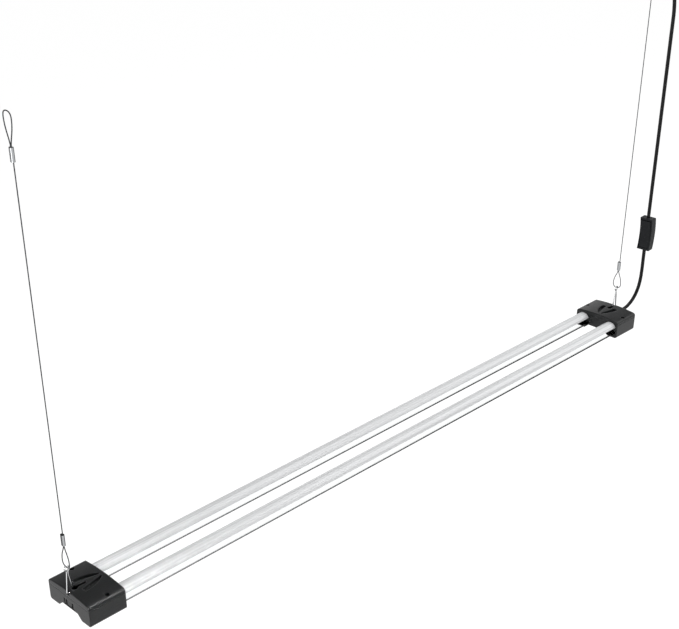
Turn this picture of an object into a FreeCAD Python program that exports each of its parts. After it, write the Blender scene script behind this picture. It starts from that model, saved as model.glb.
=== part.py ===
import FreeCAD
import Part
import Sketcher
import math
import os

from FreeCAD import Placement, Rotation, Vector

# A hanging grow light: two LED tubes between two moulded end caps, hung by a wire bail and a
# looped steel cable at each end. One cap has a linking outlet, the other a mains cord with a
# switch. Millimetres. The origin is midway between the two hooks that hold the top loops,
# X runs along the tubes towards the cord, and Z is up.

SIZES = {
    # The whole light
    "overall_length": 1219.0,
    "hang_drop": 638.0,
    # End caps, measured from the tubes' axes
    "cap_depth": 57.4,
    "cap_width": 89.4,
    "cap_wall": 2.2,
    "crown_top": 19.4,
    "crown_radius": 320.0,
    "shoulder_radius": 5.0,
    "parting_height": 10.0,
    "parting_reveal": 0.5,
    "crease_gap": 0.9,
    "cap_rounding": 0.9,
    "cap_drop": 15.4,
    "foot_radius": 3.5,
    "recess_roof": 8.0,
    "recess_roof_half": 17.0,
    "recess_foot_half": 25.0,
    # Cap screws
    "screw_from_end": 33.0,
    "screw_half_spacing": 38.4,
    "screw_shank_radius": 1.45,
    "screw_head_radius": 3.2,
    "screw_head_height": 1.8,
    "screw_length": 16.0,
    "screw_sink": 5.0,
    "screw_boss_radius": 4.6,
    "screw_clearance": 0.25,
    "thread_clearance": 0.05,
    # Keyholes and moulded grooves in the cap tops
    "keyhole_radius": 4.5,
    "keyhole_slot": 4.4,
    "near_keyhole_from_end": 11.0,
    "near_keyhole_run": 15.0,
    "far_keyhole_from_end": 18.0,
    "far_keyhole_run": 10.0,
    "groove_start": 16.5,
    "groove_length": 34.0,
    "groove_depth": 4.6,
    "groove_floor": 1.2,
    "groove_inner": 8.5,
    "groove_width": 7.0,
    "groove_tip_inner": 1.6,
    "groove_tip_width": 2.4,
    "groove_bow": 50.0,
    # Tubes
    "tube_radius": 12.9,
    "tube_spacing": 58.5,
    "tube_seat": 14.0,
    "tube_clearance": 0.25,
    "sink_wall": 1.3,
    "sink_edge_height": 5.7,
    "sink_floor": 1.7,
    "sink_floor_half": 10.1,
    "lens_wall": 1.0,
    "lens_clearance": 0.1,
    "plug_disc_thickness": 3.0,
    "board_width": 10.0,
    "board_thickness": 1.2,
    "board_setback": 3.0,
    "led_pitch": 22.0,
    "led_length": 3.5,
    "led_width": 2.8,
    "led_height": 0.7,
    "lead_radius": 1.1,
    "lead_spacing": 4.0,
    "lead_clearance": 0.1,
    # Linking outlet
    "outlet_width": 22.0,
    "outlet_height": 9.6,
    "outlet_middle": 1.2,
    "outlet_depth": 17.0,
    "outlet_face": 3.0,
    "outlet_recess": 0.6,
    "outlet_clearance": 0.45,
    "outlet_flange": 2.0,
    "slot_spacing": 12.7,
    "slot_width": 2.6,
    "slot_height": 7.2,
    "contact_cell": 4.4,
    "contact_leaf": 0.5,
    "contact_depth": 9.0,
    "contact_clearance": 0.25,
    # Driver in the cord cap
    "driver_from_end": 14.0,
    "driver_length": 26.0,
    "driver_width": 34.0,
    "driver_thickness": 1.6,
    "transformer_length": 15.0,
    "transformer_width": 13.0,
    "transformer_height": 11.0,
    "capacitor_radius": 4.0,
    "capacitor_height": 15.0,
    "choke_radius": 4.5,
    "choke_height": 7.0,
    "component_gap": 2.0,
    # Cord, strain relief and switch
    "cord_diameter": 6.4,
    "relief_height": 0.6,
    "relief_length": 20.0,
    "relief_root_radius": 5.6,
    "relief_tip_radius": 4.3,
    "relief_neck_radius": 4.8,
    "relief_flange": 1.8,
    "relief_rib": 2.0,
    "relief_groove": 0.7,
    "joint_gap": 0.3,
    "switch_height": 61.0,
    "switch_width": 24.0,
    "switch_back_depth": 8.4,
    "switch_front_depth": 8.4,
    "switch_corner": 2.0,
    "switch_wall": 1.9,
    "switch_bow": 3.7,
    "switch_floor": 108.4,
    "switch_reach": 78.0,
    "switch_turn": -86.0,
    "rocker_clearance": 0.4,
    "rocker_proud": 0.5,
    "rocker_thickness": 3.2,
    "rocker_tilt": 3.0,
    "rocker_pin_radius": 1.5,
    "rocker_pin_back": 1.2,
    "rocker_pin_length": 1.4,
    "pin_clearance": 0.1,
    "contact_strip_width": 5.0,
    "contact_strip_length": 15.0,
    "contact_strip_thickness": 1.0,
    # Spare cord, coiled and tied to the far cable
    "coil_radius": 41.5,
    "coil_height": 626.0,
    "coil_step": 7.1,
    "layer_step": 7.0,
    "coil_behind_cable": 9.8,
    "tail_radius": 29.0,
    "tail_side_step": 29.0,
    "tie_height": 8.0,
    "tie_thickness": 1.2,
    "tie_clearance": 0.4,
    # Plug
    "plug_width": 24.0,
    "plug_thickness": 15.0,
    "plug_length": 22.0,
    "plug_corner": 4.0,
    "plug_taper": 7.0,
    "plug_neck_length": 10.0,
    "plug_neck_radius": 4.2,
    "blade_width": 6.35,
    "blade_thickness": 1.5,
    "blade_length": 16.0,
    # Bails, cables and crimped ferrules
    "bail_wire": 2.0,
    "bail_outer_leg": -1.3,
    "bail_inner_leg": 9.0,
    "bail_pin_gap": 0.6,
    "bail_elbow": 1.7,
    "bail_eye_radius": 3.6,
    "bail_eye_height": 53.9,
    "bail_neck_height": 46.0,
    "bail_neck_gap": 0.3,
    "bail_neck_fillet": 2.2,
    "bail_seat_gap": 0.2,
    "bail_notch_half": 3.2,
    "bail_notch_depth": 5.5,
    "bail_notch_length": 2.6,
    "cable_diameter": 1.5,
    "cable_from_end": 3.0,
    "cable_link_gap": 0.1,
    "low_loop_length": 34.0,
    "low_loop_width": 15.5,
    "top_loop_length": 39.0,
    "near_top_loop_width": 15.5,
    "far_top_loop_width": 10.5,
    "strand_gap": 0.2,
    "ferrule_length": 16.0,
    "ferrule_wall": 1.5,
    "ferrule_clearance": 0.05,
}

WORKED_OUT = {
    "half_length": "=overall_length / 2",
    "tube_level": "=-hang_drop",
    "cap_half": "=cap_width / 2",
    "crown_sine": "=(cap_half - shoulder_radius) / (crown_radius - shoulder_radius)",
    "crown_cosine": "=sqrt(1 - crown_sine * crown_sine)",
    "crown_half": "=crown_radius * crown_sine",
    "crown_edge": "=crown_top - crown_radius * (1 - crown_cosine)",
    "shoulder_height": "=crown_edge - shoulder_radius * crown_cosine",
    "lining_half": "=cap_half - cap_wall",
    "lining_radius": "=shoulder_radius - cap_wall",
    "lining_edge": "=crown_edge - cap_wall * crown_cosine",
    "lining_crown_half": "=crown_half - cap_wall * crown_sine",
    "lining_crown_radius": "=crown_radius - cap_wall",
    "lining_top": "=crown_top - cap_wall",
    "lining_length": "=cap_depth - 2 * cap_wall",
    "reveal_half": "=cap_half - parting_reveal",
    "reveal_top": "=parting_height + parting_reveal",
    "crease_low": "=reveal_top + crease_gap",
    "groove_clear": "=cap_half + parting_reveal",
    "foot_half": "=cap_half - foot_radius",
    "foot_height": "=cap_drop - foot_radius",
    "floor_depth": "=cap_drop - cap_wall",
    "floor_radius": "=foot_radius - cap_wall",
    "roof_floor": "=recess_roof - cap_wall",
    "roof_floor_half": "=recess_roof_half + cap_wall",
    "foot_floor_half": "=recess_foot_half + cap_wall",
    "above_crown": "=crown_top + cap_wall",
    "screw_bore": "=screw_shank_radius + thread_clearance",
    "screw_pass": "=screw_shank_radius + screw_clearance",
    "screw_recess": "=screw_head_radius + screw_clearance",
    "screw_seat": "=crown_edge - screw_sink",
    "screw_recess_depth": "=above_crown - screw_seat",
    "cover_boss_height": "=lining_edge - parting_height + cap_wall / 2",
    "post_height": "=floor_depth + parting_height",
    "keyhole_half_slot": "=keyhole_slot / 2",
    "near_slot_end": "=near_keyhole_from_end + near_keyhole_run",
    "far_slot_end": "=far_keyhole_from_end - far_keyhole_run",
    "keyhole_depth": "=above_crown - lining_edge + cap_wall",
    "groove_end": "=groove_start + groove_length",
    "groove_outer": "=groove_inner + groove_width",
    "groove_tip_outer": "=groove_tip_inner + groove_tip_width",
    "groove_cut": "=above_crown - crown_top + groove_depth",
    "groove_bed": "=crown_top - groove_depth - groove_floor",
    "groove_bed_height": "=groove_depth + groove_floor - cap_wall / 2",
    "bed_start": "=groove_start - groove_floor",
    "bed_end": "=groove_end + groove_floor",
    "bed_inner": "=groove_inner - groove_floor",
    "bed_outer": "=groove_outer + 2 * groove_floor",
    "bed_tip_inner": "=groove_tip_inner - groove_floor",
    "bed_tip_outer": "=groove_tip_outer + 2 * groove_floor",
    "notch_floor": "=crown_top - bail_notch_depth",
    "tube_offset": "=tube_spacing / 2",
    "tube_bore": "=tube_radius + tube_clearance",
    "tube_bore_depth": "=tube_seat + tube_clearance",
    "tube_length": "=overall_length - 2 * (cap_depth - tube_seat)",
    "sink_edge_half": "=sqrt(tube_radius * tube_radius - sink_edge_height * sink_edge_height)",
    "sink_under": "=sink_edge_height - sink_floor",
    "duct_radius": "=tube_radius - sink_wall",
    "duct_floor": "=sink_edge_height + sink_wall",
    "duct_half": "=sqrt(duct_radius * duct_radius - duct_floor * duct_floor)",
    "lens_edge_height": "=sink_edge_height - lens_clearance",
    "lens_edge_half": "=sqrt(tube_radius * tube_radius - lens_edge_height * lens_edge_height)",
    "lens_bore": "=tube_radius - lens_wall",
    "lens_lip_half": "=sqrt(lens_bore * lens_bore - lens_edge_height * lens_edge_height)",
    "board_under": "=sink_under - board_thickness",
    "board_length": "=tube_length - 2 * board_setback",
    "board_half": "=board_width / 2",
    "disc_radius": "=lens_bore - lens_clearance",
    "disc_top": "=board_under - led_height - lens_clearance",
    "disc_top_half": "=sqrt(disc_radius * disc_radius - disc_top * disc_top)",
    "lead_height": "=duct_floor + lead_radius + lead_clearance",
    "outlet_half": "=outlet_width / 2",
    "outlet_top": "=outlet_height / 2 - outlet_middle",
    "outlet_under": "=outlet_height / 2 + outlet_middle",
    "insert_half": "=outlet_half - outlet_clearance",
    "insert_top": "=outlet_top - outlet_clearance",
    "insert_under": "=outlet_under - outlet_clearance",
    "insert_length": "=outlet_depth - outlet_recess",
    "insert_flange_half": "=outlet_half + outlet_flange",
    "insert_flange_length": "=outlet_depth - cap_wall",
    "slot_inner": "=slot_spacing / 2 - slot_width / 2",
    "slot_outer": "=slot_spacing / 2 + slot_width / 2",
    "slot_top": "=slot_height / 2 - outlet_middle",
    "slot_under": "=slot_height / 2 + outlet_middle",
    "cell_inner": "=slot_spacing / 2 - contact_cell / 2",
    "cell_outer": "=slot_spacing / 2 + contact_cell / 2",
    "cell_start": "=outlet_recess + outlet_face",
    "cell_length": "=outlet_depth - cell_start",
    "relief_hole": "=relief_neck_radius + relief_groove / 4",
    "relief_flange_radius": "=relief_root_radius + relief_groove / 2",
    "relief_end": "=half_length + relief_length",
    "rocker_half_width": "=switch_width / 2 - switch_wall - rocker_clearance",
    "rocker_half_height": "=switch_height / 2 - 2 * switch_wall - 1.5 * rocker_clearance",
    "rocker_window_half_width": "=switch_width / 2 - switch_wall",
    "rocker_window_half_height": "=switch_height / 2 - 2 * switch_wall",
    "bail_radius": "=bail_wire / 2",
    "bail_pin_height": "=lining_top - bail_radius - bail_seat_gap",
    "cable_radius": "=cable_diameter / 2",
}

doc = FreeCAD.newDocument("GrowLightBar")
sheet = doc.addObject("Spreadsheet::Sheet", "Dims")
for row, (alias, content) in enumerate([*SIZES.items(), *WORKED_OUT.items()], start=1):
    sheet.set(f"A{row}", alias)
    sheet.set(f"B{row}", str(content))
    sheet.setAlias(f"B{row}", alias)
doc.recompute()

parts = []


def value(name):
    """The number in a named cell; a leading minus turns it round."""
    if name == "0":
        return 0.0
    if name[0] == "-":
        return -value(name[1:])
    return float(sheet.get(name))


def bound(name):
    """The expression for a named cell, with its sign."""
    return f"-Dims.{name[1:]}" if name[0] == "-" else f"Dims.{name}"


def keep(piece, label):
    """Lists a finished piece under the name of its file."""
    piece.Label = label
    parts.append(piece)
    return piece


def place(piece, across="0", aside="0", up="tube_level", turn=0.0):
    """Stands a piece at named places, turned about Z."""
    piece.Placement = Placement(Vector(), Rotation(Vector(0, 0, 1), turn))
    for axis, name in (("x", across), ("y", aside), ("z", up)):
        if name != "0":
            piece.setExpression(f"Placement.Base.{axis}", bound(name))
    return piece


def new_body(label):
    return keep(doc.addObject("PartDesign::Body", label), label)


def new_sketch(body, name, plane, offset="0"):
    """A sketch on one of its body's origin planes, moved along that plane's normal."""
    made = body.newObject("Sketcher::SketchObject", name)
    support = next(f for f in body.Origin.OriginFeatures if f.Role == plane)
    made.AttachmentSupport = [(support, "")]
    made.MapMode = "FlatFace"
    if offset != "0":
        made.setExpression("AttachmentOffset.Base.z", bound(offset))
    return made


def fix_point(sketch, shape, end, across, up):
    """Ties a point of a sketch to two named sizes, measured from the sketch's origin."""
    for kind, axis, name in (("DistanceX", -2, across), ("DistanceY", -1, up)):
        if name == "0":
            sketch.addConstraint(Sketcher.Constraint("PointOnObject", shape, end, axis))
            continue
        size = value(name)
        pair = (-1, 1, shape, end) if size > 0 else (shape, end, -1, 1)
        tie = sketch.addConstraint(Sketcher.Constraint(kind, *pair, abs(size)))
        flipped = name[1:] if name[0] == "-" else f"-{name}"
        sketch.setExpression(f"Constraints[{tie}]", bound(name if size > 0 else flipped))


def arc_between(start, stop, radius, turn, wide):
    """The arc from start to stop, counter-clockwise for turn 1, over a half circle where wide."""
    chord = stop - start
    rise = math.sqrt(max(radius * radius - chord.Length * chord.Length / 4, 0.0))
    left = Vector(-chord.y, chord.x, 0).normalize()
    centre = (start + stop) * 0.5 + left * (rise * turn * (-1 if wide else 1))
    first, last = (start, stop) if turn > 0 else (stop, start)
    angles = [math.atan2(p.y - centre.y, p.x - centre.x) for p in (first, last)]
    if angles[1] < angles[0]:
        angles[1] += 2 * math.pi
    return Part.ArcOfCircle(Part.Circle(centre, Vector(0, 0, 1), radius), *angles)


def outline(sketch, corners):
    """Closes lines and arcs through corners of named sizes. (across, up) starts a line, and
    (across, up, radius, turn, wide) an arc."""
    points = [Vector(value(c[0]), value(c[1]), 0) for c in corners]
    ends = []
    for corner, start, stop in zip(corners, points, points[1:] + points[:1]):
        if len(corner) == 2:
            ends.append((sketch.addGeometry(Part.LineSegment(start, stop)), 1, 2))
            continue
        arc = arc_between(start, stop, value(corner[2]), corner[3], corner[4])
        drawn = sketch.addGeometry(arc)
        tie = sketch.addConstraint(Sketcher.Constraint("Radius", drawn, value(corner[2])))
        sketch.setExpression(f"Constraints[{tie}]", bound(corner[2]))
        ends.append((drawn, 1, 2) if corner[3] > 0 else (drawn, 2, 1))
    for index, (corner, (shape, start, _)) in enumerate(zip(corners, ends)):
        before, _, stop = ends[index - 1]
        sketch.addConstraint(Sketcher.Constraint("Coincident", before, stop, shape, start))
        fix_point(sketch, shape, start, corner[0], corner[1])
    return sketch


def circle(sketch, across, up, radius):
    centre = Vector(value(across), value(up), 0)
    drawn = sketch.addGeometry(Part.Circle(centre, Vector(0, 0, 1), value(radius)))
    tie = sketch.addConstraint(Sketcher.Constraint("Radius", drawn, value(radius)))
    sketch.setExpression(f"Constraints[{tie}]", bound(radius))
    fix_point(sketch, drawn, 3, across, up)
    return sketch


def mirrored(half):
    """A whole outline from its right half, listed from the bottom up and ending at the top.
    An arc belongs to the corner that starts it, so on the way back it moves to the next one."""
    back = []
    for index in range(len(half) - 1, -1, -1):
        across, up = half[index][:2]
        arc = half[index - 1][2:] if index else ()
        back.append((f"-{across}", up, *arc))
    return list(half) + back


def extrude(body, kind, sketch, length, reverse=False, middle=False):
    """A Pad or Pocket of a named length."""
    made = body.newObject(f"PartDesign::{kind}", f"{sketch.Name}_{kind}")
    made.Profile = sketch
    made.setExpression("Length", bound(length))
    if middle:
        made.SideType = "Symmetric"
    made.Reversed = reverse
    sketch.Visibility = False
    return made


def box_outline(sketch, low_across, high_across, low_up, high_up):
    return outline(
        sketch,
        [(low_across, low_up), (high_across, low_up), (high_across, high_up), (low_across, high_up)],
    )


def solid(label, shape):
    """A piece whose shape is made directly, already in place."""
    made = doc.addObject("Part::Feature", label)
    made.Shape = shape
    return keep(made, label)


def fixture_point(across, aside, up):
    """A point given from the middle of the light at the tubes' axes."""
    return Vector(across, aside, up + value("tube_level"))


# End caps. Each is drawn with x running inwards from its end face.


def cap_cover(label, across, turn, keyhole, slot_end):
    """The crowned top of a cap, with its keyhole, bail notch, screw recesses and grooves."""
    body = new_body(label)
    skin = new_sketch(body, f"{label}_skin", "YZ_Plane")
    outline(
        skin,
        mirrored(
            [
                ("cap_half", "parting_height"),
                ("cap_half", "shoulder_height", "shoulder_radius", 1, False),
                ("crown_half", "crown_edge", "crown_radius", 1, False),
            ]
        ),
    )
    soften(body, extrude(body, "Pad", skin, "cap_depth"))
    lines = new_sketch(body, f"{label}_side_lines", "YZ_Plane")
    for sign in ("", "-"):
        sides = (f"{sign}reveal_half", f"{sign}groove_clear")
        box_outline(lines, *sides, "parting_height", "reveal_top")
        box_outline(lines, *sides, "crease_low", "shoulder_height")
    extrude(body, "Pocket", lines, "cap_depth", reverse=True)
    lining = new_sketch(body, f"{label}_lining", "YZ_Plane", "cap_wall")
    outline(
        lining,
        mirrored(
            [
                ("lining_half", "parting_height"),
                ("lining_half", "shoulder_height", "lining_radius", 1, False),
                ("lining_crown_half", "lining_edge", "lining_crown_radius", 1, False),
            ]
        ),
    )
    extrude(body, "Pocket", lining, "lining_length", reverse=True)
    for side, sign, way in (("left", "", 1), ("right", "-", -1)):
        seat = f"{sign}screw_half_spacing"
        boss = new_sketch(body, f"{label}_{side}_boss", "XY_Plane", "parting_height")
        circle(boss, "screw_from_end", seat, "screw_boss_radius")
        extrude(body, "Pad", boss, "cover_boss_height")
        recess = new_sketch(body, f"{label}_{side}_recess", "XY_Plane", "above_crown")
        circle(recess, "screw_from_end", seat, "screw_recess")
        extrude(body, "Pocket", recess, "screw_recess_depth")
        passage = new_sketch(body, f"{label}_{side}_passage", "XY_Plane", "above_crown")
        circle(passage, "screw_from_end", seat, "screw_pass")
        extrude(body, "Pocket", passage, "crown_top")
        bed = new_sketch(body, f"{label}_{side}_groove_bed", "XY_Plane", "groove_bed")
        corners = [
            ("bed_start", f"{sign}bed_inner"),
            ("bed_end", f"{sign}bed_tip_inner"),
            ("bed_end", f"{sign}bed_tip_outer", "groove_bow", way, False),
            ("bed_start", f"{sign}bed_outer"),
        ]
        extrude(body, "Pad", outline(bed, corners), "groove_bed_height")
        groove = new_sketch(body, f"{label}_{side}_groove", "XY_Plane", "above_crown")
        corners = [
            ("groove_start", f"{sign}groove_inner"),
            ("groove_end", f"{sign}groove_tip_inner"),
            ("groove_end", f"{sign}groove_tip_outer", "groove_bow", way, False),
            ("groove_start", f"{sign}groove_outer"),
        ]
        extrude(body, "Pocket", outline(groove, corners), "groove_cut")
    cut_tube_seats(body, label)
    bulb = new_sketch(body, f"{label}_keyhole", "XY_Plane", "above_crown")
    extrude(body, "Pocket", circle(bulb, keyhole, "0", "keyhole_radius"), "keyhole_depth")
    slot = new_sketch(body, f"{label}_keyhole_slot", "XY_Plane", "above_crown")
    low, high = sorted((keyhole, slot_end), key=value)
    box_outline(slot, low, high, "-keyhole_half_slot", "keyhole_half_slot")
    extrude(body, "Pocket", slot, "keyhole_depth")
    tip = new_sketch(body, f"{label}_keyhole_tip", "XY_Plane", "above_crown")
    extrude(body, "Pocket", circle(tip, slot_end, "0", "keyhole_half_slot"), "keyhole_depth")
    notch = new_sketch(body, f"{label}_bail_notch", "YZ_Plane")
    box_outline(notch, "-bail_notch_half", "bail_notch_half", "notch_floor", "above_crown")
    extrude(body, "Pocket", notch, "bail_notch_length", reverse=True)
    return place(body, across, turn=turn)


def soften(body, block):
    """Rounds the edges of a cap's end faces, apart from those on its parting line."""
    doc.recompute()
    level = value("parting_height")
    edges = [
        f"Edge{index}"
        for index, edge in enumerate(block.Shape.Edges, start=1)
        if edge.BoundBox.XLength < 0.01
        and max(abs(edge.BoundBox.ZMax - level), abs(edge.BoundBox.ZMin - level)) > 0.01
    ]
    rounding = body.newObject("PartDesign::Fillet", f"{block.Name}_rounding")
    rounding.Base = (block, edges)
    rounding.setExpression("Radius", bound("cap_rounding"))


def cut_tube_seats(body, label):
    """The two round seats that a cap's inner face has for the tubes."""
    for side, sign in (("left", ""), ("right", "-")):
        seat = new_sketch(body, f"{label}_{side}_tube_seat", "YZ_Plane", "cap_depth")
        circle(seat, f"{sign}tube_offset", "0", "tube_bore")
        extrude(body, "Pocket", seat, "tube_bore_depth")


def cap_housing(label, across, turn):
    """The tray of a cap, open at its parting line, with screw posts and tube seats."""
    body = new_body(label)
    skin = new_sketch(body, f"{label}_skin", "YZ_Plane")
    outline(
        skin,
        mirrored(
            [
                ("recess_roof_half", "-recess_roof"),
                ("recess_foot_half", "-cap_drop"),
                ("foot_half", "-cap_drop", "foot_radius", 1, False),
                ("cap_half", "-foot_height"),
                ("cap_half", "parting_height"),
            ]
        ),
    )
    soften(body, extrude(body, "Pad", skin, "cap_depth"))
    lining = new_sketch(body, f"{label}_lining", "YZ_Plane", "cap_wall")
    outline(
        lining,
        mirrored(
            [
                ("roof_floor_half", "-roof_floor"),
                ("foot_floor_half", "-floor_depth"),
                ("foot_half", "-floor_depth", "floor_radius", 1, False),
                ("lining_half", "-foot_height"),
                ("lining_half", "parting_height"),
            ]
        ),
    )
    extrude(body, "Pocket", lining, "lining_length", reverse=True)
    for side, sign in (("left", ""), ("right", "-")):
        seat = f"{sign}screw_half_spacing"
        post = new_sketch(body, f"{label}_{side}_post", "XY_Plane", "-floor_depth")
        extrude(body, "Pad", circle(post, "screw_from_end", seat, "screw_boss_radius"), "post_height")
        bore = new_sketch(body, f"{label}_{side}_bore", "XY_Plane", "parting_height")
        extrude(body, "Pocket", circle(bore, "screw_from_end", seat, "screw_bore"), "screw_length")
    cut_tube_seats(body, label)
    return place(body, across, turn=turn)


def near_cap():
    cap_cover("near_cap_cover", "-half_length", 0.0, "near_keyhole_from_end", "near_slot_end")
    body = cap_housing("near_cap_housing", "-half_length", 0.0)
    window = new_sketch(body, "outlet_window", "YZ_Plane")
    box_outline(window, "-outlet_half", "outlet_half", "-outlet_under", "outlet_top")
    extrude(body, "Pocket", window, "cap_wall", reverse=True)


def far_cap():
    cap_cover("far_cap_cover", "half_length", 180.0, "far_keyhole_from_end", "far_slot_end")
    body = cap_housing("far_cap_housing", "half_length", 180.0)
    hole = new_sketch(body, "relief_hole", "YZ_Plane")
    extrude(body, "Pocket", circle(hole, "0", "relief_height", "relief_hole"), "cap_wall", reverse=True)


def cap_screws():
    """The four screws that close the caps, as one group."""
    head_radius, shank_radius = value("screw_head_radius"), value("screw_shank_radius")
    reach, seat = value("half_length") - value("screw_from_end"), value("screw_seat")
    screws = []
    for along in (-1, 1):
        for side in (-1, 1):
            foot = fixture_point(along * reach, side * value("screw_half_spacing"), seat)
            head = Part.makeCylinder(head_radius, value("screw_head_height"), foot)
            shank = Part.makeCylinder(shank_radius, value("screw_length"), foot, Vector(0, 0, -1))
            screws.append(head.fuse(shank))
    solid("cap_screws", Part.makeCompound(screws))


# Tubes


def tube(side, sign):
    """One tube: an extruded aluminium back, its clear lens, the board and its light sources."""
    offset = f"{sign}tube_offset"
    sink = new_body(f"{side}_heat_sink")
    profile = new_sketch(sink, f"{side}_sink_profile", "YZ_Plane")
    outline(
        profile,
        mirrored(
            [
                ("sink_floor_half", "sink_under"),
                ("sink_floor_half", "sink_edge_height"),
                ("sink_edge_half", "sink_edge_height", "tube_radius", 1, False),
            ]
        ),
    )
    outline(profile, mirrored([("duct_half", "duct_floor", "duct_radius", 1, False)]))
    extrude(sink, "Pad", profile, "tube_length", middle=True)
    place(sink, aside=offset)

    lens = new_body(f"{side}_lens")
    section = new_sketch(lens, f"{side}_lens_section", "YZ_Plane")
    outline(
        section,
        [
            ("-lens_edge_half", "lens_edge_height", "tube_radius", 1, True),
            ("lens_edge_half", "lens_edge_height"),
            ("lens_lip_half", "lens_edge_height", "lens_bore", -1, True),
            ("-lens_lip_half", "lens_edge_height"),
        ],
    )
    extrude(lens, "Pad", section, "tube_length", middle=True)
    place(lens, aside=offset)

    board = new_body(f"{side}_led_board")
    strip = new_sketch(board, f"{side}_board_section", "YZ_Plane")
    box_outline(strip, "-board_half", "board_half", "board_under", "sink_under")
    extrude(board, "Pad", strip, "board_length", middle=True)
    place(board, aside=offset)

    pitch, length, width = value("led_pitch"), value("led_length"), value("led_width")
    count = int(value("board_length") / pitch)
    first = -(count - 1) * pitch / 2 - length / 2
    under = value("board_under") - value("led_height")
    chips = [
        Part.makeBox(
            length,
            width,
            value("led_height"),
            fixture_point(first + index * pitch, value(offset) - width / 2, under),
        )
        for index in range(count)
    ]
    solid(f"{side}_led_chips", Part.makeCompound(chips))


def lens_end_plugs():
    """The four dark plates that close the lens space at the tube ends, as one group."""
    thick, reach = value("plug_disc_thickness"), value("tube_length") / 2
    half, top, radius = value("disc_top_half"), value("disc_top"), value("disc_radius")
    plates = []
    for along in (-1, 1):
        for offset in ("tube_offset", "-tube_offset"):
            start = reach - thick if along > 0 else -reach
            low, left, right = [
                fixture_point(start, value(offset) + y, z)
                for y, z in ((0, -radius), (-half, top), (half, top))
            ]
            rim = Part.Arc(left, low, right).toShape()
            face = Part.Face(Part.Wire([rim, Part.LineSegment(right, left).toShape()]))
            plates.append(face.extrude(Vector(thick, 0, 0)))
    solid("lens_end_plugs", Part.makeCompound(plates))


def mains_leads():
    """The pair of insulated wires that run through one tube to the linking outlet."""
    length, radius = value("tube_length"), value("lead_radius")
    leads = [
        Part.makeCylinder(
            radius,
            length,
            fixture_point(
                -length / 2,
                value("tube_offset") + side * value("lead_spacing") / 2,
                value("lead_height"),
            ),
            Vector(1, 0, 0),
        )
        for side in (-1, 1)
    ]
    solid("mains_leads", Part.makeCompound(leads))


# Linking outlet in the near cap


def link_outlet():
    body = new_body("link_outlet")
    front = new_sketch(body, "outlet_front", "YZ_Plane", "outlet_recess")
    box_outline(front, "-insert_half", "insert_half", "-insert_under", "insert_top")
    extrude(body, "Pad", front, "insert_length")
    flange = new_sketch(body, "outlet_flange_section", "YZ_Plane", "cap_wall")
    box_outline(flange, "-insert_flange_half", "insert_flange_half", "-insert_under", "insert_top")
    extrude(body, "Pad", flange, "insert_flange_length")
    for side, sign in (("left", ""), ("right", "-")):
        slot = new_sketch(body, f"outlet_{side}_slot", "YZ_Plane")
        box_outline(slot, f"{sign}slot_inner", f"{sign}slot_outer", "-slot_under", "slot_top")
        extrude(body, "Pocket", slot, "outlet_depth", reverse=True)
        cell = new_sketch(body, f"outlet_{side}_cell", "YZ_Plane", "cell_start")
        box_outline(cell, f"{sign}cell_inner", f"{sign}cell_outer", "-slot_under", "slot_top")
        extrude(body, "Pocket", cell, "cell_length", reverse=True)
    place(body, "-half_length")


def outlet_contacts():
    """Two folded spring contacts, open towards the slots, as one group."""
    leaf, clear = value("contact_leaf"), value("contact_clearance")
    wide = value("contact_cell") - 2 * clear
    tall = value("slot_height") - 2 * clear
    long = value("contact_depth")
    start = value("cell_start") + clear - value("half_length")
    contacts = []
    for side in (-1, 1):
        middle = side * value("slot_spacing") / 2
        corner = fixture_point(start, middle - wide / 2, -value("outlet_middle") - tall / 2)
        block = Part.makeBox(long, wide, tall, corner)
        gap = Part.makeBox(long - leaf, wide - 2 * leaf, tall, corner + Vector(0, leaf, 0))
        contacts.append(block.cut(gap))
    solid("outlet_contacts", Part.makeCompound(contacts))


# Driver in the far cap


def driver():
    board_floor = -value("roof_floor")
    board_top = board_floor + value("driver_thickness")
    low_x = value("half_length") - value("driver_from_end") - value("driver_length")
    board = doc.addObject("Part::Box", "driver_board")
    board.setExpression("Length", bound("driver_length"))
    board.setExpression("Width", bound("driver_width"))
    board.setExpression("Height", bound("driver_thickness"))
    keep(board, "driver_board")
    board.Placement = Placement(fixture_point(low_x, -value("driver_width") / 2, board_floor), Rotation())

    gap = value("component_gap")
    core = doc.addObject("Part::Box", "driver_transformer")
    core.setExpression("Length", bound("transformer_length"))
    core.setExpression("Width", bound("transformer_width"))
    core.setExpression("Height", bound("transformer_height"))
    keep(core, "driver_transformer")
    core.Placement = Placement(
        fixture_point(low_x + gap, -value("driver_width") / 2 + gap, board_top), Rotation()
    )

    can = doc.addObject("Part::Cylinder", "driver_capacitor")
    can.setExpression("Radius", bound("capacitor_radius"))
    can.setExpression("Height", bound("capacitor_height"))
    keep(can, "driver_capacitor")
    can_y = -value("driver_width") / 2 + 2 * gap + value("transformer_width") + value("capacitor_radius")
    can.Placement = Placement(
        fixture_point(low_x + gap + value("capacitor_radius"), can_y, board_top), Rotation()
    )

    choke = doc.addObject("Part::Cylinder", "driver_choke")
    choke.setExpression("Radius", bound("choke_radius"))
    choke.setExpression("Height", bound("choke_height"))
    keep(choke, "driver_choke")
    choke_x = low_x + 2 * gap + 2 * value("capacitor_radius") + value("choke_radius")
    choke.Placement = Placement(fixture_point(choke_x, can_y, board_top), Rotation())


# Cord


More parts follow.
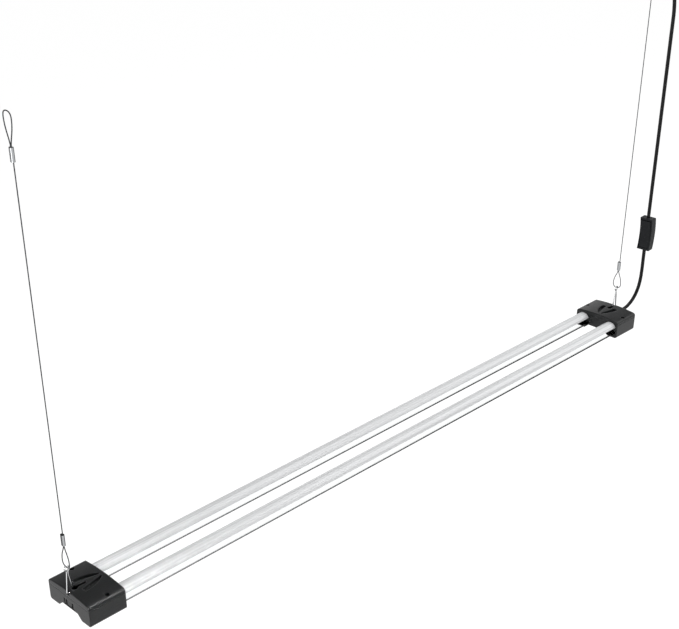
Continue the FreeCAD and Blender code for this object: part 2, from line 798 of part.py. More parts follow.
def strain_relief():
    """A ribbed, tapering relief clipped in the far cap's end wall, turned about its own axis."""
    wall, flange = value("cap_wall"), value("relief_flange")
    root, tip = value("relief_root_radius"), value("relief_tip_radius")
    neck, rim = value("relief_neck_radius"), value("relief_flange_radius")
    length, rib, groove = value("relief_length"), value("relief_rib"), value("relief_groove")
    profile = [(-wall - flange, 0), (-wall - flange, rim), (-wall, rim), (-wall, neck), (0, neck)]
    profile += [(0, rim), (flange, rim), (flange, root)]
    along = flange + rib
    while along + rib < length:
        radius = root + (tip - root) * along / length
        profile += [(along, radius), (along, radius - groove)]
        profile += [(along + rib / 2, radius - groove), (along + rib / 2, radius)]
        along += 1.5 * rib
    profile += [(length, tip), (length, 0)]
    points = [Vector(x, r, 0) for x, r in profile]
    face = Part.Face(Part.makePolygon(points + points[:1]))
    shape = face.revolve(Vector(), Vector(1, 0, 0), 360)
    piece = solid("cord_strain_relief", shape)
    place(piece, "half_length")
    piece.setExpression("Placement.Base.z", "Dims.tube_level + Dims.relief_height")


def rounded_route(points):
    """Straight runs joined by tangent arcs, each as large as its two runs allow, and their radii."""
    edges, radii, start = [], [], points[0]
    for before, corner, after in zip(points, points[1:], points[2:]):
        back, ahead = before - corner, after - corner
        half_turn = (math.pi - back.getAngle(ahead)) / 2
        cut = 0.45 * min(back.Length, ahead.Length)
        radius = cut / math.tan(half_turn)
        entry = corner + Vector(back).normalize() * cut
        leave = corner + Vector(ahead).normalize() * cut
        inward = (Vector(back).normalize() + Vector(ahead).normalize()).normalize()
        middle = corner + inward * (radius / math.cos(half_turn) - radius)
        edges += [Part.LineSegment(start, entry).toShape(), Part.Arc(entry, middle, leave).toShape()]
        radii.append(radius)
        start = leave
    edges.append(Part.LineSegment(start, points[-1]).toShape())
    return Part.Wire(edges), radii


def swept(wire, radius):
    """A round bar along a smooth path, with its volume compared with its section times its length."""
    start = wire.Edges[0]
    ahead = start.tangentAt(start.FirstParameter)
    ring = Part.Wire(Part.Circle(start.valueAt(start.FirstParameter), ahead, radius).toShape())
    shape = wire.makePipeShell([ring], True, False)
    expected = math.pi * radius * radius * wire.Length
    if abs(shape.Volume - expected) > 0.02 * expected:
        raise ValueError(f"a swept bar has {shape.Volume:.1f} of {expected:.1f} cubic millimetres")
    return shape


# Where the cord goes, from the far end face outwards and up from the tubes' axes.
LOWER_ROUTE = [
    (34.0, 0.6),
    (46.5, 4.0),
    (60.0, 11.6),
    (71.2, 25.0),
    (77.4, 43.0),
    (78.8, 64.0),
    (78.2, 88.0),
]
UPPER_ROUTE = [(75.2, 0.0, 551.0), (75.2, value("coil_behind_cable"), 596.0)]


def cord_runs():
    """The cord from its relief to the switch, and on up to the coil."""
    end, radius = value("half_length"), value("cord_diameter") / 2
    reach, floor = value("switch_reach"), value("switch_floor")
    first = [(value("relief_length") + value("joint_gap"), value("relief_height"))]
    lower = first + LOWER_ROUTE + [(reach, floor)]
    wire, radii = rounded_route([fixture_point(end + x, 0, z) for x, z in lower])
    print("cord_lower radii", [round(r, 1) for r in radii])
    solid("cord_lower", swept(wire, radius))
    upper = [(reach, 0.0, floor + value("switch_height")), *UPPER_ROUTE]
    upper.append((UPPER_ROUTE[-1][0], UPPER_ROUTE[-1][1], value("coil_height") - value("cord_diameter")))
    wire, radii = rounded_route([fixture_point(end + x, y, z) for x, y, z in upper])
    print("cord_upper radii", [round(r, 1) for r in radii])
    solid("cord_upper", swept(wire, radius))


def biarc(start, leave, stop, arrive):
    """Two tangent arcs from start to stop with the given directions."""
    span = stop - start
    both = leave + arrive
    bend = 2 * (1 - leave.dot(arrive))
    root = math.sqrt(span.dot(both) ** 2 + bend * span.dot(span))
    reach = (root - span.dot(both)) / bend
    meet = (start + stop + (leave - arrive) * reach) * 0.5
    arcs = []
    for point, along, other in ((start, leave, meet), (stop, arrive * -1, meet)):
        chord = other - point
        middle_way = (along + chord.normalize()).normalize()
        half = (other - point).Length / 2
        lean = along.getAngle(other - point)
        arcs.append((point, point + middle_way * (half / math.cos(lean / 2)), other))
    first = Part.Arc(*arcs[0]).toShape()
    second = Part.Arc(arcs[1][2], arcs[1][1], arcs[1][0]).toShape()
    return [first, second]


def coil_point(angle):
    """A point of the coil's middle line: in along one layer, over, out along the next, and clear."""
    turn = coil_turn()
    step, thick = value("coil_step"), value("layer_step")
    outer = value("coil_radius")
    inner = outer - step * turn / (2 * math.pi)
    if angle < turn:
        radius, climb = outer - step * angle / (2 * math.pi), 0.0
    elif angle < turn + math.pi:
        radius = inner - step * math.sin(angle - turn) / (2 * math.pi)
        climb = (1 - math.cos(angle - turn)) / 2
    elif angle < 2 * turn + math.pi / 2:
        radius, climb = inner + step * (angle - turn - math.pi) / (2 * math.pi), 1.0
    else:
        radius = inner + step * (turn - math.pi / 2) / (2 * math.pi)
        climb = 1 + (1 - math.cos(2 * (angle - 2 * turn - math.pi / 2))) / 2
    return Vector(
        radius * math.cos(angle),
        UPPER_ROUTE[-1][1] + climb * thick,
        radius * math.sin(angle),
    )


def coil_turn():
    """How far the cord winds in each layer, so that its end leaves a little past the start."""
    return math.radians(640)


def cord_coil():
    """The spare cord: one unbroken tube of loops in two layers, whose end hangs with the plug."""
    end, diameter = value("half_length"), value("cord_diameter")
    centre = fixture_point(end + UPPER_ROUTE[-1][0] - value("coil_radius"), 0, value("coil_height"))
    total = 2 * coil_turn() + math.pi
    quarters = round(total / (math.pi / 2))
    angles = [total * index / quarters for index in range(quarters + 1)]
    nudge = 0.001
    points = [centre + coil_point(a) for a in angles]
    ways = [(coil_point(a + nudge) - coil_point(a - nudge)).normalize() for a in angles]
    ways[0] = Vector(0, 0, 1)
    lead_in = Part.LineSegment(points[0] - Vector(0, 0, diameter), points[0]).toShape()
    edges = [lead_in]
    for index in range(quarters):
        edges += biarc(points[index], ways[index], points[index + 1], ways[index + 1])
    bend = value("tail_radius")
    level = Vector(-math.sin(total), 0, math.cos(total))
    hang_x = points[-1].x + bend * (-math.cos(total) - 1)
    hang_z = points[-1].z - bend * math.sin(total)
    hang = Vector(hang_x, value("tail_side_step"), hang_z)
    top = Vector(points[-1].x - bend * math.cos(total), 0, hang_z + bend)
    top.y = (points[-1].y + hang.y) / 2
    over = Vector(-bend, (hang.y - points[-1].y) / 2, 0).normalize()
    edges += biarc(points[-1], level, top, over)
    edges += biarc(top, over, hang, Vector(0, 0, -1))
    edges.append(Part.LineSegment(hang, hang - Vector(0, 0, diameter)).toShape())
    wire = Part.Wire(edges)
    print("cord_coil length", round(wire.Length, 1), "least gap", round(least_gap(wire, diameter), 2))
    solid("cord_coil", swept(wire, diameter / 2))
    return hang - Vector(0, 0, diameter)


def least_gap(wire, diameter):
    """The least space between one loop of a tube and another, measured on points along it."""
    points = wire.discretize(Distance=diameter / 3)
    apart = 12
    nearest = min(
        (a - b).Length
        for index, a in enumerate(points)
        for b in points[index + apart:]
    )
    return nearest - diameter


def loop_half_width(height):
    """How far the far top loop's strands stand from its middle, at a height below its round end."""
    strand = value("cable_radius") + value("strand_gap") / 2
    side = value("far_top_loop_width") / 2
    tip = value("hang_drop") + value("cable_radius")
    low, high = tip - value("top_loop_length") + side / 2, tip - 2 * side
    share = min(max((height - low) / (high - low), 0.0), 1.0)
    return strand + (side - strand) * share


def coil_tie():
    """The strap that holds the coil against the back strand of the far cable's top loop."""
    clear, thick = value("tie_clearance"), value("tie_thickness")
    end, cord = value("half_length"), value("cord_diameter")
    bottom = value("coil_height") - value("tie_height") / 2
    middle = end + UPPER_ROUTE[-1][0] - value("coil_radius")
    inner = value("coil_radius") - value("coil_step") * coil_turn() / (2 * math.pi)
    low_x = middle - value("coil_radius") - cord / 2 - clear
    high_x = middle - inner + cord / 2 + clear + value("tie_height") / 12
    low_y = loop_half_width(bottom) - value("cable_radius") - clear
    high_y = UPPER_ROUTE[-1][1] + value("layer_step") + cord / 2 + clear

    def ring(grow):
        corner = fixture_point(low_x - grow, low_y - grow, bottom)
        block = Part.makeBox(
            high_x - low_x + 2 * grow, high_y - low_y + 2 * grow, value("tie_height"), corner
        )
        upright = [e for e in block.Edges if abs(e.tangentAt(e.FirstParameter).z) > 0.9]
        return block.makeFillet(cord / 4 + grow, upright)

    solid("coil_tie", ring(thick).cut(ring(0.0)))


def plug(hang):
    """The moulded plug, hanging from the coil's end, and its two blades."""
    body = new_body("plug_body")
    face = new_sketch(body, "plug_face", "XY_Plane")
    half_w, half_t = value("plug_width") / 2, value("plug_thickness") / 2
    drawn = [
        face.addGeometry(Part.LineSegment(Vector(*a, 0), Vector(*b, 0)))
        for a, b in (
            ((-half_w, -half_t), (half_w, -half_t)),
            ((half_w, -half_t), (half_w, half_t)),
            ((half_w, half_t), (-half_w, half_t)),
            ((-half_w, half_t), (-half_w, -half_t)),
        )
    ]
    for index in range(4):
        after = drawn[(index + 1) % 4]
        face.addConstraint(Sketcher.Constraint("Coincident", drawn[index], 2, after, 1))
        level = "Horizontal" if index % 2 == 0 else "Vertical"
        face.addConstraint(Sketcher.Constraint(level, drawn[index]))
    face.addConstraint(Sketcher.Constraint("Symmetric", drawn[0], 1, drawn[1], 2, -1, 1))
    for line, name in ((drawn[0], "plug_width"), (drawn[1], "plug_thickness")):
        tie = face.addConstraint(Sketcher.Constraint("Distance", line, value(name)))
        face.setExpression(f"Constraints[{tie}]", bound(name))
    block = extrude(body, "Pad", face, "plug_length")
    block.setExpression("TaperAngle", "-Dims.plug_taper")
    doc.recompute()
    edges = [
        f"Edge{index}"
        for index, edge in enumerate(block.Shape.Edges, start=1)
        if abs(edge.tangentAt(edge.FirstParameter).z) > 0.7
    ]
    rounding = body.newObject("PartDesign::Fillet", "plug_rounding")
    rounding.Base = (block, edges)
    rounding.setExpression("Radius", bound("plug_corner"))
    neck = new_sketch(body, "plug_neck", "XY_Plane", "plug_length")
    extrude(body, "Pad", circle(neck, "0", "0", "plug_neck_radius"), "plug_neck_length")
    foot = hang - Vector(0, 0, value("plug_length") + value("plug_neck_length"))
    body.Placement = Placement(foot, Rotation())

    wide, thick, long = value("blade_width"), value("blade_thickness"), value("blade_length")
    blades = []
    for side in (-1, 1):
        middle = side * value("slot_spacing") / 2
        corner = foot + Vector(middle - thick / 2, -wide / 2, -long)
        block = Part.makeBox(thick, wide, long, corner)
        tip = [e for e in block.Edges if e.CenterOfMass.z < corner.z + 0.01]
        sides = [e for e in tip if abs(e.tangentAt(e.FirstParameter).y) > 0.9]
        blades.append(block.makeChamfer(thick / 4, sides))
    solid("plug_blades", Part.makeCompound(blades))


# Switch. Its pieces are drawn with the rocker facing -Y, then turned towards the viewer.


def switch_place(piece):
    middle = value("switch_floor") + value("switch_height") / 2
    centre = fixture_point(value("half_length") + value("switch_reach"), 0, middle)
    piece.Placement = Placement(centre, Rotation(Vector(0, 0, 1), value("switch_turn")))
    return piece


def bowed(low_y, high_y, width, height):
    """A slab between two like arcs: its middle is set back, and its ends stand at low_y and high_y."""
    bow, half = value("switch_bow"), height / 2
    full = value("switch_height") / 2
    radius = (full * full + bow * bow) / (2 * bow)
    back_off = bow + math.sqrt(radius * radius - half * half) - radius
    edges = []
    for y, order in ((low_y, 1), (high_y, -1)):
        ends = [Vector(-width / 2, y + back_off, order * sign * half) for sign in (-1, 1)]
        edges.append(Part.Arc(ends[0], Vector(-width / 2, y + bow, 0), ends[1]).toShape())
    tips = [
        Part.LineSegment(
            Vector(-width / 2, low_y + back_off, end),
            Vector(-width / 2, high_y + back_off, end),
        ).toShape()
        for end in (half, -half)
    ]
    face = Part.Face(Part.Wire([edges[0], tips[0], edges[1], tips[1]]))
    return face.extrude(Vector(width, 0, 0))


def rounded_rim(slab, radius, front):
    """Rounds the edges round the front or back of a bowed slab."""
    faces = [f for f in slab.Faces if "Cylinder" in type(f.Surface).__name__]
    chosen = sorted(faces, key=lambda f: f.CenterOfMass.y)[0 if front else -1]
    return slab.makeFillet(radius, chosen.Edges)


def switch_bodies():
    """The two halves of the switch's case, its rocker and the contacts behind it."""
    width, height = value("switch_width"), value("switch_height")
    wall, corner = value("switch_wall"), value("switch_corner")
    back, front = value("switch_back_depth"), value("switch_front_depth")
    shell = rounded_rim(bowed(0, back, width, height), corner, False)
    hollow = bowed(-wall, back - wall, width - 2 * wall, height - 4 * wall)
    switch_place(solid("switch_back", shell.cut(hollow)))

    frame = rounded_rim(bowed(-front, 0, width, height), corner / 2, True)
    window_w, window_h = value("rocker_window_half_width"), value("rocker_window_half_height")
    deep = 4 * front
    window = Part.makeBox(2 * window_w, deep, 2 * window_h, Vector(-window_w, -deep / 2, -window_h))
    pin_y = value("rocker_pin_back")
    pin_r = value("rocker_pin_radius")
    pin_out = window_w + value("rocker_pin_length")
    bearing = Part.makeCylinder(
        pin_r + value("pin_clearance"), 2 * pin_out, Vector(-pin_out, pin_y, 0), Vector(1, 0, 0)
    )
    switch_place(solid("switch_front", frame.cut(window).cut(bearing)))

    half_w, half_h = value("rocker_half_width"), value("rocker_half_height")
    face = -front - value("rocker_proud")
    paddle = bowed(face, face + value("rocker_thickness"), 2 * half_w, 2 * half_h)
    paddle = rounded_rim(paddle, corner / 4, True)
    web_top = face + value("switch_bow") + value("rocker_thickness") / 2
    web_half = pin_r + wall / 2
    web_deep = pin_y + web_half - web_top
    web = Part.makeBox(2 * half_w, web_deep, 2 * web_half, Vector(-half_w, web_top, -web_half))
    reach = pin_out - value("rocker_clearance") / 4
    pins = Part.makeCylinder(pin_r, 2 * reach, Vector(-reach, pin_y, 0), Vector(1, 0, 0))
    paddle = paddle.fuse([web, pins]).removeSplitter()
    rocker = switch_place(solid("switch_rocker", paddle))
    pushed = Rotation(Vector(1, 0, 0), value("rocker_tilt"))
    rocker.Placement = rocker.Placement.multiply(Placement(Vector(), pushed, Vector(0, pin_y, 0)))

    strip_w, thick = value("contact_strip_width"), value("contact_strip_thickness")
    strip = bowed(back - wall - thick, back - wall, strip_w, 3 * value("contact_strip_length"))
    span = value("contact_strip_length")
    gap = Part.makeBox(2 * strip_w, 8 * back, span, Vector(-strip_w, -4 * back, -span / 2))
    switch_place(solid("switch_contacts", strip.cut(gap)))


# Suspension


def end_plane(along):
    """Where the cables hang: along is -1 at the outlet end and 1 at the cord end."""
    return along * (value("half_length") - value("cable_from_end"))


def bail(label, along):
    """A wire bail: two bent-in pins under the cap's bridge, two legs and an eye on top."""
    wire, elbow = value("bail_radius"), value("bail_elbow")
    outer, inner = value("bail_outer_leg"), value("bail_inner_leg")
    base, pin_z = value("cable_from_end"), value("bail_pin_height")
    middle = (outer + inner) / 2
    half_gap = value("bail_pin_gap") / 2
    neck = wire + value("bail_neck_gap") / 2
    neck_z, eye_z = value("bail_neck_height"), value("bail_eye_height")
    eye, fillet = value("bail_eye_radius"), value("bail_neck_fillet")

    def at(from_end, up):
        return fixture_point(along * (value("half_length") - from_end), 0, up)

    drop = math.sqrt((eye + fillet) ** 2 - (neck + fillet) ** 2)
    swing = eye / (eye + fillet)
    turn_z = eye_z - drop
    edges = []
    for side, leg in ((-1, outer), (1, inner)):
        pin, corner = at(middle + side * half_gap, pin_z), at(leg, pin_z)
        low, high = at(base + side * neck, neck_z), at(base + side * neck, turn_z)
        edges += bent([pin, corner, low, high], [elbow, 4 * elbow])
    touch_x, touch_z = swing * (neck + fillet), eye_z - swing * drop
    lean = math.atan2(drop, neck + fillet)
    bow = math.pi - lean / 2
    for side in (-1, 1):
        centre_x = side * (neck + fillet)
        mid = at(
            base + centre_x + side * fillet * math.cos(bow),
            turn_z + fillet * math.sin(bow),
        )
        start, stop = at(base + side * neck, turn_z), at(base + side * touch_x, touch_z)
        edges.append(Part.Arc(start, mid, stop).toShape())
    first, last = at(base - touch_x, touch_z), at(base + touch_x, touch_z)
    edges.append(Part.Arc(first, at(base, eye_z + eye), last).toShape())
    path = Part.Wire(Part.__sortEdges__(edges))
    solid(label, swept(path, wire))


def bent(points, radii):
    """Straight runs with a bend of a given radius at each inner point."""
    edges, start = [], points[0]
    for before, corner, after, radius in zip(points, points[1:], points[2:], radii):
        back, ahead = (before - corner).normalize(), (after - corner).normalize()
        half_turn = (math.pi - back.getAngle(ahead)) / 2
        cut = radius * math.tan(half_turn)
        inward = (back + ahead).normalize()
        entry, leave = corner + back * cut, corner + ahead * cut
        middle = corner + inward * (radius / math.cos(half_turn) - radius)
        edges += [Part.LineSegment(start, entry).toShape(), Part.Arc(entry, middle, leave).toShape()]
        start = leave
    edges.append(Part.LineSegment(start, points[-1]).toShape())
    return edges


def cable_loop(across, tip_z, ferrule_z, width):
    """A teardrop loop in the plane square to the light, from one strand in its ferrule to the other."""
    strand = value("cable_radius") + value("strand_gap") / 2
    side = width / 2
    toward = 1 if tip_z > ferrule_z else -1
    shoulder = tip_z - toward * side
    spread = ferrule_z + toward * width / 4
    points = [
        Vector(across, y, z + value("tube_level"))
        for y, z in (
            (-strand, ferrule_z),
            (-strand, spread),
            (-side, shoulder - toward * side),
            (-side, tip_z),
            (side, tip_z),
            (side, shoulder - toward * side),
            (strand, spread),
            (strand, ferrule_z),
        )
    ]
    return Part.Wire(bent(points, [side, side, 0.98 * side, 0.98 * side, side, side]))


def cable_sizes():
    """Heights of the cable's loops and ferrules above the tubes' axes."""
    low_tip = value("bail_eye_height") + value("bail_eye_radius") - value("bail_radius")
    low_tip -= value("cable_radius") + value("cable_link_gap")
    low_ferrule = low_tip + value("low_loop_length")
    top_tip = value("hang_drop") + value("cable_radius")
    top_ferrule = top_tip - value("top_loop_length")
    return low_tip, low_ferrule, top_tip, top_ferrule


def cables():
    """Both suspension cables with their loops, and the four crimped ferrules as one group."""
    radius, strand = value("cable_radius"), value("cable_radius") + value("strand_gap") / 2
    long, wall = value("ferrule_length"), value("ferrule_wall")
    clear = value("ferrule_clearance")
    low_tip, low_ferrule, top_tip, top_ferrule = cable_sizes()
    ferrules = []
    for side, along in (("near", -1), ("far", 1)):
        x = end_plane(along)
        bottom, top = low_ferrule + long, top_ferrule - long
        run = Part.makeCylinder(radius, top - bottom, fixture_point(x, -strand, bottom))
        solid(f"{side}_cable", run)
        for name, tip, start, width in (
            ("low", low_tip, low_ferrule, value("low_loop_width")),
            ("top", top_tip, top_ferrule, value(f"{side}_top_loop_width")),
        ):
            away = 1 if tip < start else -1
            loop = swept(cable_loop(x, tip, start, width), radius)
            ends = [
                Part.makeCylinder(radius, long, fixture_point(x, y, start), Vector(0, 0, away))
                for y in (-strand, strand)
            ]
            solid(f"{side}_{name}_loop", loop.fuse(ends).removeSplitter())
            foot = fixture_point(x, 0, min(start, start + away * long))
            ferrules.append(ferrule(foot, strand, radius + clear, wall))
    solid("cable_ferrules", Part.makeCompound(ferrules))


def ferrule(foot, strand, bore, wall):
    """A double-barrel sleeve crimped round two strands."""
    long, outer = value("ferrule_length"), bore + wall
    barrels = [Part.makeCylinder(outer, long, foot + Vector(0, y, 0)) for y in (-strand, strand)]
    waist = Part.makeBox(2 * outer - wall, 2 * strand, long, foot + Vector(wall / 2 - outer, -strand, 0))
    holes = [Part.makeCylinder(bore, long, foot + Vector(0, y, 0)) for y in (-strand, strand)]
    return barrels[0].fuse([barrels[1], waist]).removeSplitter().cut(holes[0]).cut(holes[1])


near_cap()
far_cap()
cap_screws()
tube("left", "")
tube("right", "-")
lens_end_plugs()
mains_leads()
link_outlet()
outlet_contacts()
driver()
strain_relief()
cord_runs()
plug(cord_coil())
coil_tie()
switch_bodies()
bail("near_bail", -1)
bail("far_bail", 1)
cables()
doc.recompute()

for made in doc.Objects:
    if "Invalid" in made.State or "Error" in made.State:
        raise ValueError(f"{made.Label} failed: {made.State}")
for piece in parts:
    if piece.Shape.isNull() or not piece.Shape.isValid():
        raise ValueError(f"{piece.Label} has no valid shape")

os.makedirs("parts", exist_ok=True)
for piece in parts:
    piece.Shape.exportStep(f"parts/{piece.Label}.step")
    print(piece.Label, len(piece.Shape.Solids), "solids", round(piece.Shape.Volume, 1), "cubic mm")
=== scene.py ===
import math

import bmesh
import bpy
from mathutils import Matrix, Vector


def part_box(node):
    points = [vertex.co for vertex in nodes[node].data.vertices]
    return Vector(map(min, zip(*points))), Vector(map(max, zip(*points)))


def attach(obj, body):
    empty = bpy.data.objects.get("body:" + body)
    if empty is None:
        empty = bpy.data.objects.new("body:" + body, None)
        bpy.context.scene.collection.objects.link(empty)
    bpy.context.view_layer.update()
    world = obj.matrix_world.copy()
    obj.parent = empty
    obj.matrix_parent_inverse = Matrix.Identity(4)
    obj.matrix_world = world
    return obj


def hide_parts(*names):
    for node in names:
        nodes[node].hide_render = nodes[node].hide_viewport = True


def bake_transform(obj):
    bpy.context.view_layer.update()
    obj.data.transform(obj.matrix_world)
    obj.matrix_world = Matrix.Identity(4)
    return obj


# A hanging grow light in metres, in the CAD's frame: X runs along the tubes to the cord end, Z is up,
# and the hooks that hold the ropes are at height 0.
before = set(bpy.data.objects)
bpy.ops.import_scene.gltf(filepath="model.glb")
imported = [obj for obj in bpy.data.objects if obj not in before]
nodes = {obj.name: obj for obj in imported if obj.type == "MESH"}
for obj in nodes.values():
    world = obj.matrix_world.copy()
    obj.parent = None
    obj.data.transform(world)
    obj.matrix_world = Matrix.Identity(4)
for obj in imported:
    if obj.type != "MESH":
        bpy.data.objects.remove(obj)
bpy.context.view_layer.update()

MM = 0.001

# In millimetres: the far cap's end face, the tubes' axes, and the widths of the cord and the wire rope
FAR_END = 609.5
TUBE_LEVEL = -638.0
CORD = 6.4
ROPE = 1.5


def at(along, aside, up):
    """A place in metres, from millimetres along the light, across it and above the tubes' axes."""
    return Vector((along * MM, aside * MM, (up + TUBE_LEVEL) * MM))


def past_end(out, aside, up):
    """A place in metres, from millimetres past the far cap's end face."""
    return at(FAR_END + out, aside, up)


# Materials

WHITE = (1, 1, 1, 1)
BLACK = (0, 0, 0, 1)
# Nearly all of a noise lies between these two values
NOISE_LOW = 0.3
NOISE_HIGH = 0.7
FROM_NOISE = {"From Min": NOISE_LOW, "From Max": NOISE_HIGH}


def hexa(code):
    """A written sRGB colour as linear light."""
    parts = [int(code[i:i + 2], 16) / 255 for i in (1, 3, 5)]
    return (*[c / 12.92 if c <= 0.04045 else ((c + 0.055) / 1.055) ** 2.4 for c in parts], 1.0)


def per(millimetres):
    """The texture scale that gives a pattern of this size."""
    return 1000.0 / millimetres


def add(tree, kind, inputs=None, stops=(), **settings):
    """Adds a node with its settings and links. An input takes a value, an output, a node for its first
    output, or a list of nodes. Stops are the positions and colours of a colour ramp."""
    made = tree.nodes.new(kind)
    for name, setting in settings.items():
        setattr(made, name, setting)
    for key, given in (inputs or {}).items():
        for part in given if isinstance(given, list) else [given]:
            source = part.outputs[0] if isinstance(part, bpy.types.Node) else part
            if isinstance(source, bpy.types.NodeSocket):
                tree.links.new(source, made.inputs[key])
            else:
                made.inputs[key].default_value = source
    if stops:
        band = made.color_ramp.elements
        while len(band) < len(stops):
            band.new(0.5)
        for stop, (position, colour) in zip(band, stops):
            stop.position = position
            stop.color = hexa(colour)
    return made


def blank(name):
    """A new material without nodes, and its tree."""
    made = bpy.data.materials.new(name)
    made.use_nodes = True
    made.node_tree.nodes.clear()
    return made, made.node_tree


def smooth_plastic(name, dark, light, roughness, grain_mm, bump, shine=0.5, edge_mm=0.3):
    """Plastic, or a body as smooth: an even grain scatters the gloss, the flow of the melt leaves faint
    cloudy tones, and the edges are slightly round. The grain is drawn coarse so that it shows."""
    made, tree = blank(name)
    flow_mm = 30.0
    vary = 0.06
    place = add(tree, "ShaderNodeTexCoord").outputs["Object"]
    grain = add(tree, "ShaderNodeTexNoise", {"Vector": place, "Scale": per(grain_mm), "Detail": 3.0})
    flow = add(tree, "ShaderNodeTexNoise", {"Vector": place, "Scale": per(flow_mm), "Detail": 4.0})
    tone = add(tree, "ShaderNodeValToRGB", {"Fac": flow}, stops=((NOISE_LOW, dark), (NOISE_HIGH, light)))
    gloss = add(
        tree,
        "ShaderNodeMapRange",
        {"Value": grain, **FROM_NOISE, "To Min": roughness - vary, "To Max": roughness + vary},
    )
    soft_edge = add(tree, "ShaderNodeBevel", {"Radius": edge_mm * MM}, samples=4)
    relief = add(
        tree,
        "ShaderNodeBump",
        {"Height": grain, "Strength": bump, "Distance": 0.05 * MM, "Normal": soft_edge},
    )
    shader = add(
        tree,
        "ShaderNodeBsdfPrincipled",
        {"Base Color": tone, "Roughness": gloss, "Normal": relief, "IOR": 1.53, "Specular IOR Level": shine},
    )
    add(tree, "ShaderNodeOutputMaterial", {"Surface": shader})
    return made


def extruded_aluminium(name):
    """Satin anodised aluminium, drawn through a die: its matt oxide scatters most of the light, and faint
    lines of tone, gloss and relief run along it, drawn broad so that they show."""
    made, tree = blank(name)
    place = add(tree, "ShaderNodeTexCoord").outputs["Object"]
    along = add(tree, "ShaderNodeMapping", {"Vector": place, "Scale": (0.004, 1.0, 1.0)})
    lines = add(tree, "ShaderNodeTexNoise", {"Vector": along, "Scale": per(2.4), "Detail": 3.0})
    tone = add(tree, "ShaderNodeValToRGB", {"Fac": lines}, stops=((0.35, "#c6c7c8"), (0.65, "#dcddde")))
    gloss = add(tree, "ShaderNodeMapRange", {"Value": lines, **FROM_NOISE, "To Min": 0.44, "To Max": 0.56})
    relief = add(tree, "ShaderNodeBump", {"Height": lines, "Strength": 0.2, "Distance": 0.03 * MM})
    shader = add(
        tree,
        "ShaderNodeBsdfPrincipled",
        {"Base Color": tone, "Metallic": 0.25, "Roughness": gloss, "Normal": relief},
    )
    add(tree, "ShaderNodeOutputMaterial", {"Surface": shader})
    return made


def clear_polycarbonate(name):
    """Extruded clear polycarbonate: the eye sees through it, apart from its glancing edges, where the light
    crosses the most plastic and the wall looks smoky, and where its colour is painted near black as a painted
    dark edge line."""
    made, tree = blank(name)
    place = add(tree, "ShaderNodeTexCoord").outputs["Object"]
    along = add(tree, "ShaderNodeMapping", {"Vector": place, "Scale": (0.006, 1.0, 1.0)})
    lines = add(tree, "ShaderNodeTexNoise", {"Vector": along, "Scale": per(2.5), "Detail": 2.0})
    gloss = add(tree, "ShaderNodeMapRange", {"Value": lines, **FROM_NOISE, "To Min": 0.02, "To Max": 0.06})
    glance = add(tree, "ShaderNodeLayerWeight", {"Blend": 0.5}).outputs["Facing"]
    # Painted dark edge: the colour turns near black at glancing angles, partly the wall's smokiness and
    # partly painted shade
    painted_edge_tint = add(
        tree,
        "ShaderNodeValToRGB",
        {"Fac": glance},
        stops=((0.0, "#fcfdfd"), (0.58, "#f8f9f9"), (0.74, "#0c0d0e")),
    )
    shader = add(
        tree,
        "ShaderNodeBsdfPrincipled",
        {"Base Color": painted_edge_tint, "Roughness": gloss, "Transmission Weight": 1.0, "IOR": 1.02},
    )
    add(tree, "ShaderNodeOutputMaterial", {"Surface": shader})
    return made


def bright_metal(name, light, rim, roughness):
    """Drawn or pressed metal with a bright finish: marks, drawn coarse so that they show, vary its gloss,
    and its colour is painted dark where it turns away from the eye, a painted reflection of dark
    surroundings."""
    made, tree = blank(name)
    place = add(tree, "ShaderNodeTexCoord").outputs["Object"]
    marks = add(tree, "ShaderNodeTexNoise", {"Vector": place, "Scale": per(1.5), "Detail": 2.0})
    # Painted reflection: the base colour goes from light to the dark rim colour as the surface turns away
    # from the eye
    glance = add(tree, "ShaderNodeLayerWeight", {"Blend": 0.5}).outputs["Facing"]
    tone = add(tree, "ShaderNodeValToRGB", {"Fac": glance}, stops=((0.18, light), (0.46, rim)))
    gloss = add(
        tree,
        "ShaderNodeMapRange",
        {"Value": marks, **FROM_NOISE, "To Min": roughness * 0.7, "To Max": roughness * 1.4},
    )
    shader = add(
        tree, "ShaderNodeBsdfPrincipled", {"Base Color": tone, "Metallic": 1.0, "Roughness": gloss}
    )
    add(tree, "ShaderNodeOutputMaterial", {"Surface": shader})
    return made


def worked_metal(name, dark, light, roughness, blotch_mm):
    """Plain worked metal: blotchy handling marks vary its tone and gloss."""
    made, tree = blank(name)
    vary = 0.1
    place = add(tree, "ShaderNodeTexCoord").outputs["Object"]
    marks = add(tree, "ShaderNodeTexNoise", {"Vector": place, "Scale": per(blotch_mm), "Detail": 5.0})
    tone = add(tree, "ShaderNodeValToRGB", {"Fac": marks}, stops=((NOISE_LOW, dark), (NOISE_HIGH, light)))
    gloss = add(
        tree,
        "ShaderNodeMapRange",
        {"Value": marks, **FROM_NOISE, "To Min": roughness - vary, "To Max": roughness + vary},
    )
    relief = add(tree, "ShaderNodeBump", {"Height": marks, "Strength": 0.25, "Distance": 0.1 * MM})
    shader = add(
        tree,
        "ShaderNodeBsdfPrincipled",
        {"Base Color": tone, "Metallic": 1.0, "Roughness": gloss, "Normal": relief},
    )
    add(tree, "ShaderNodeOutputMaterial", {"Surface": shader})
    return made


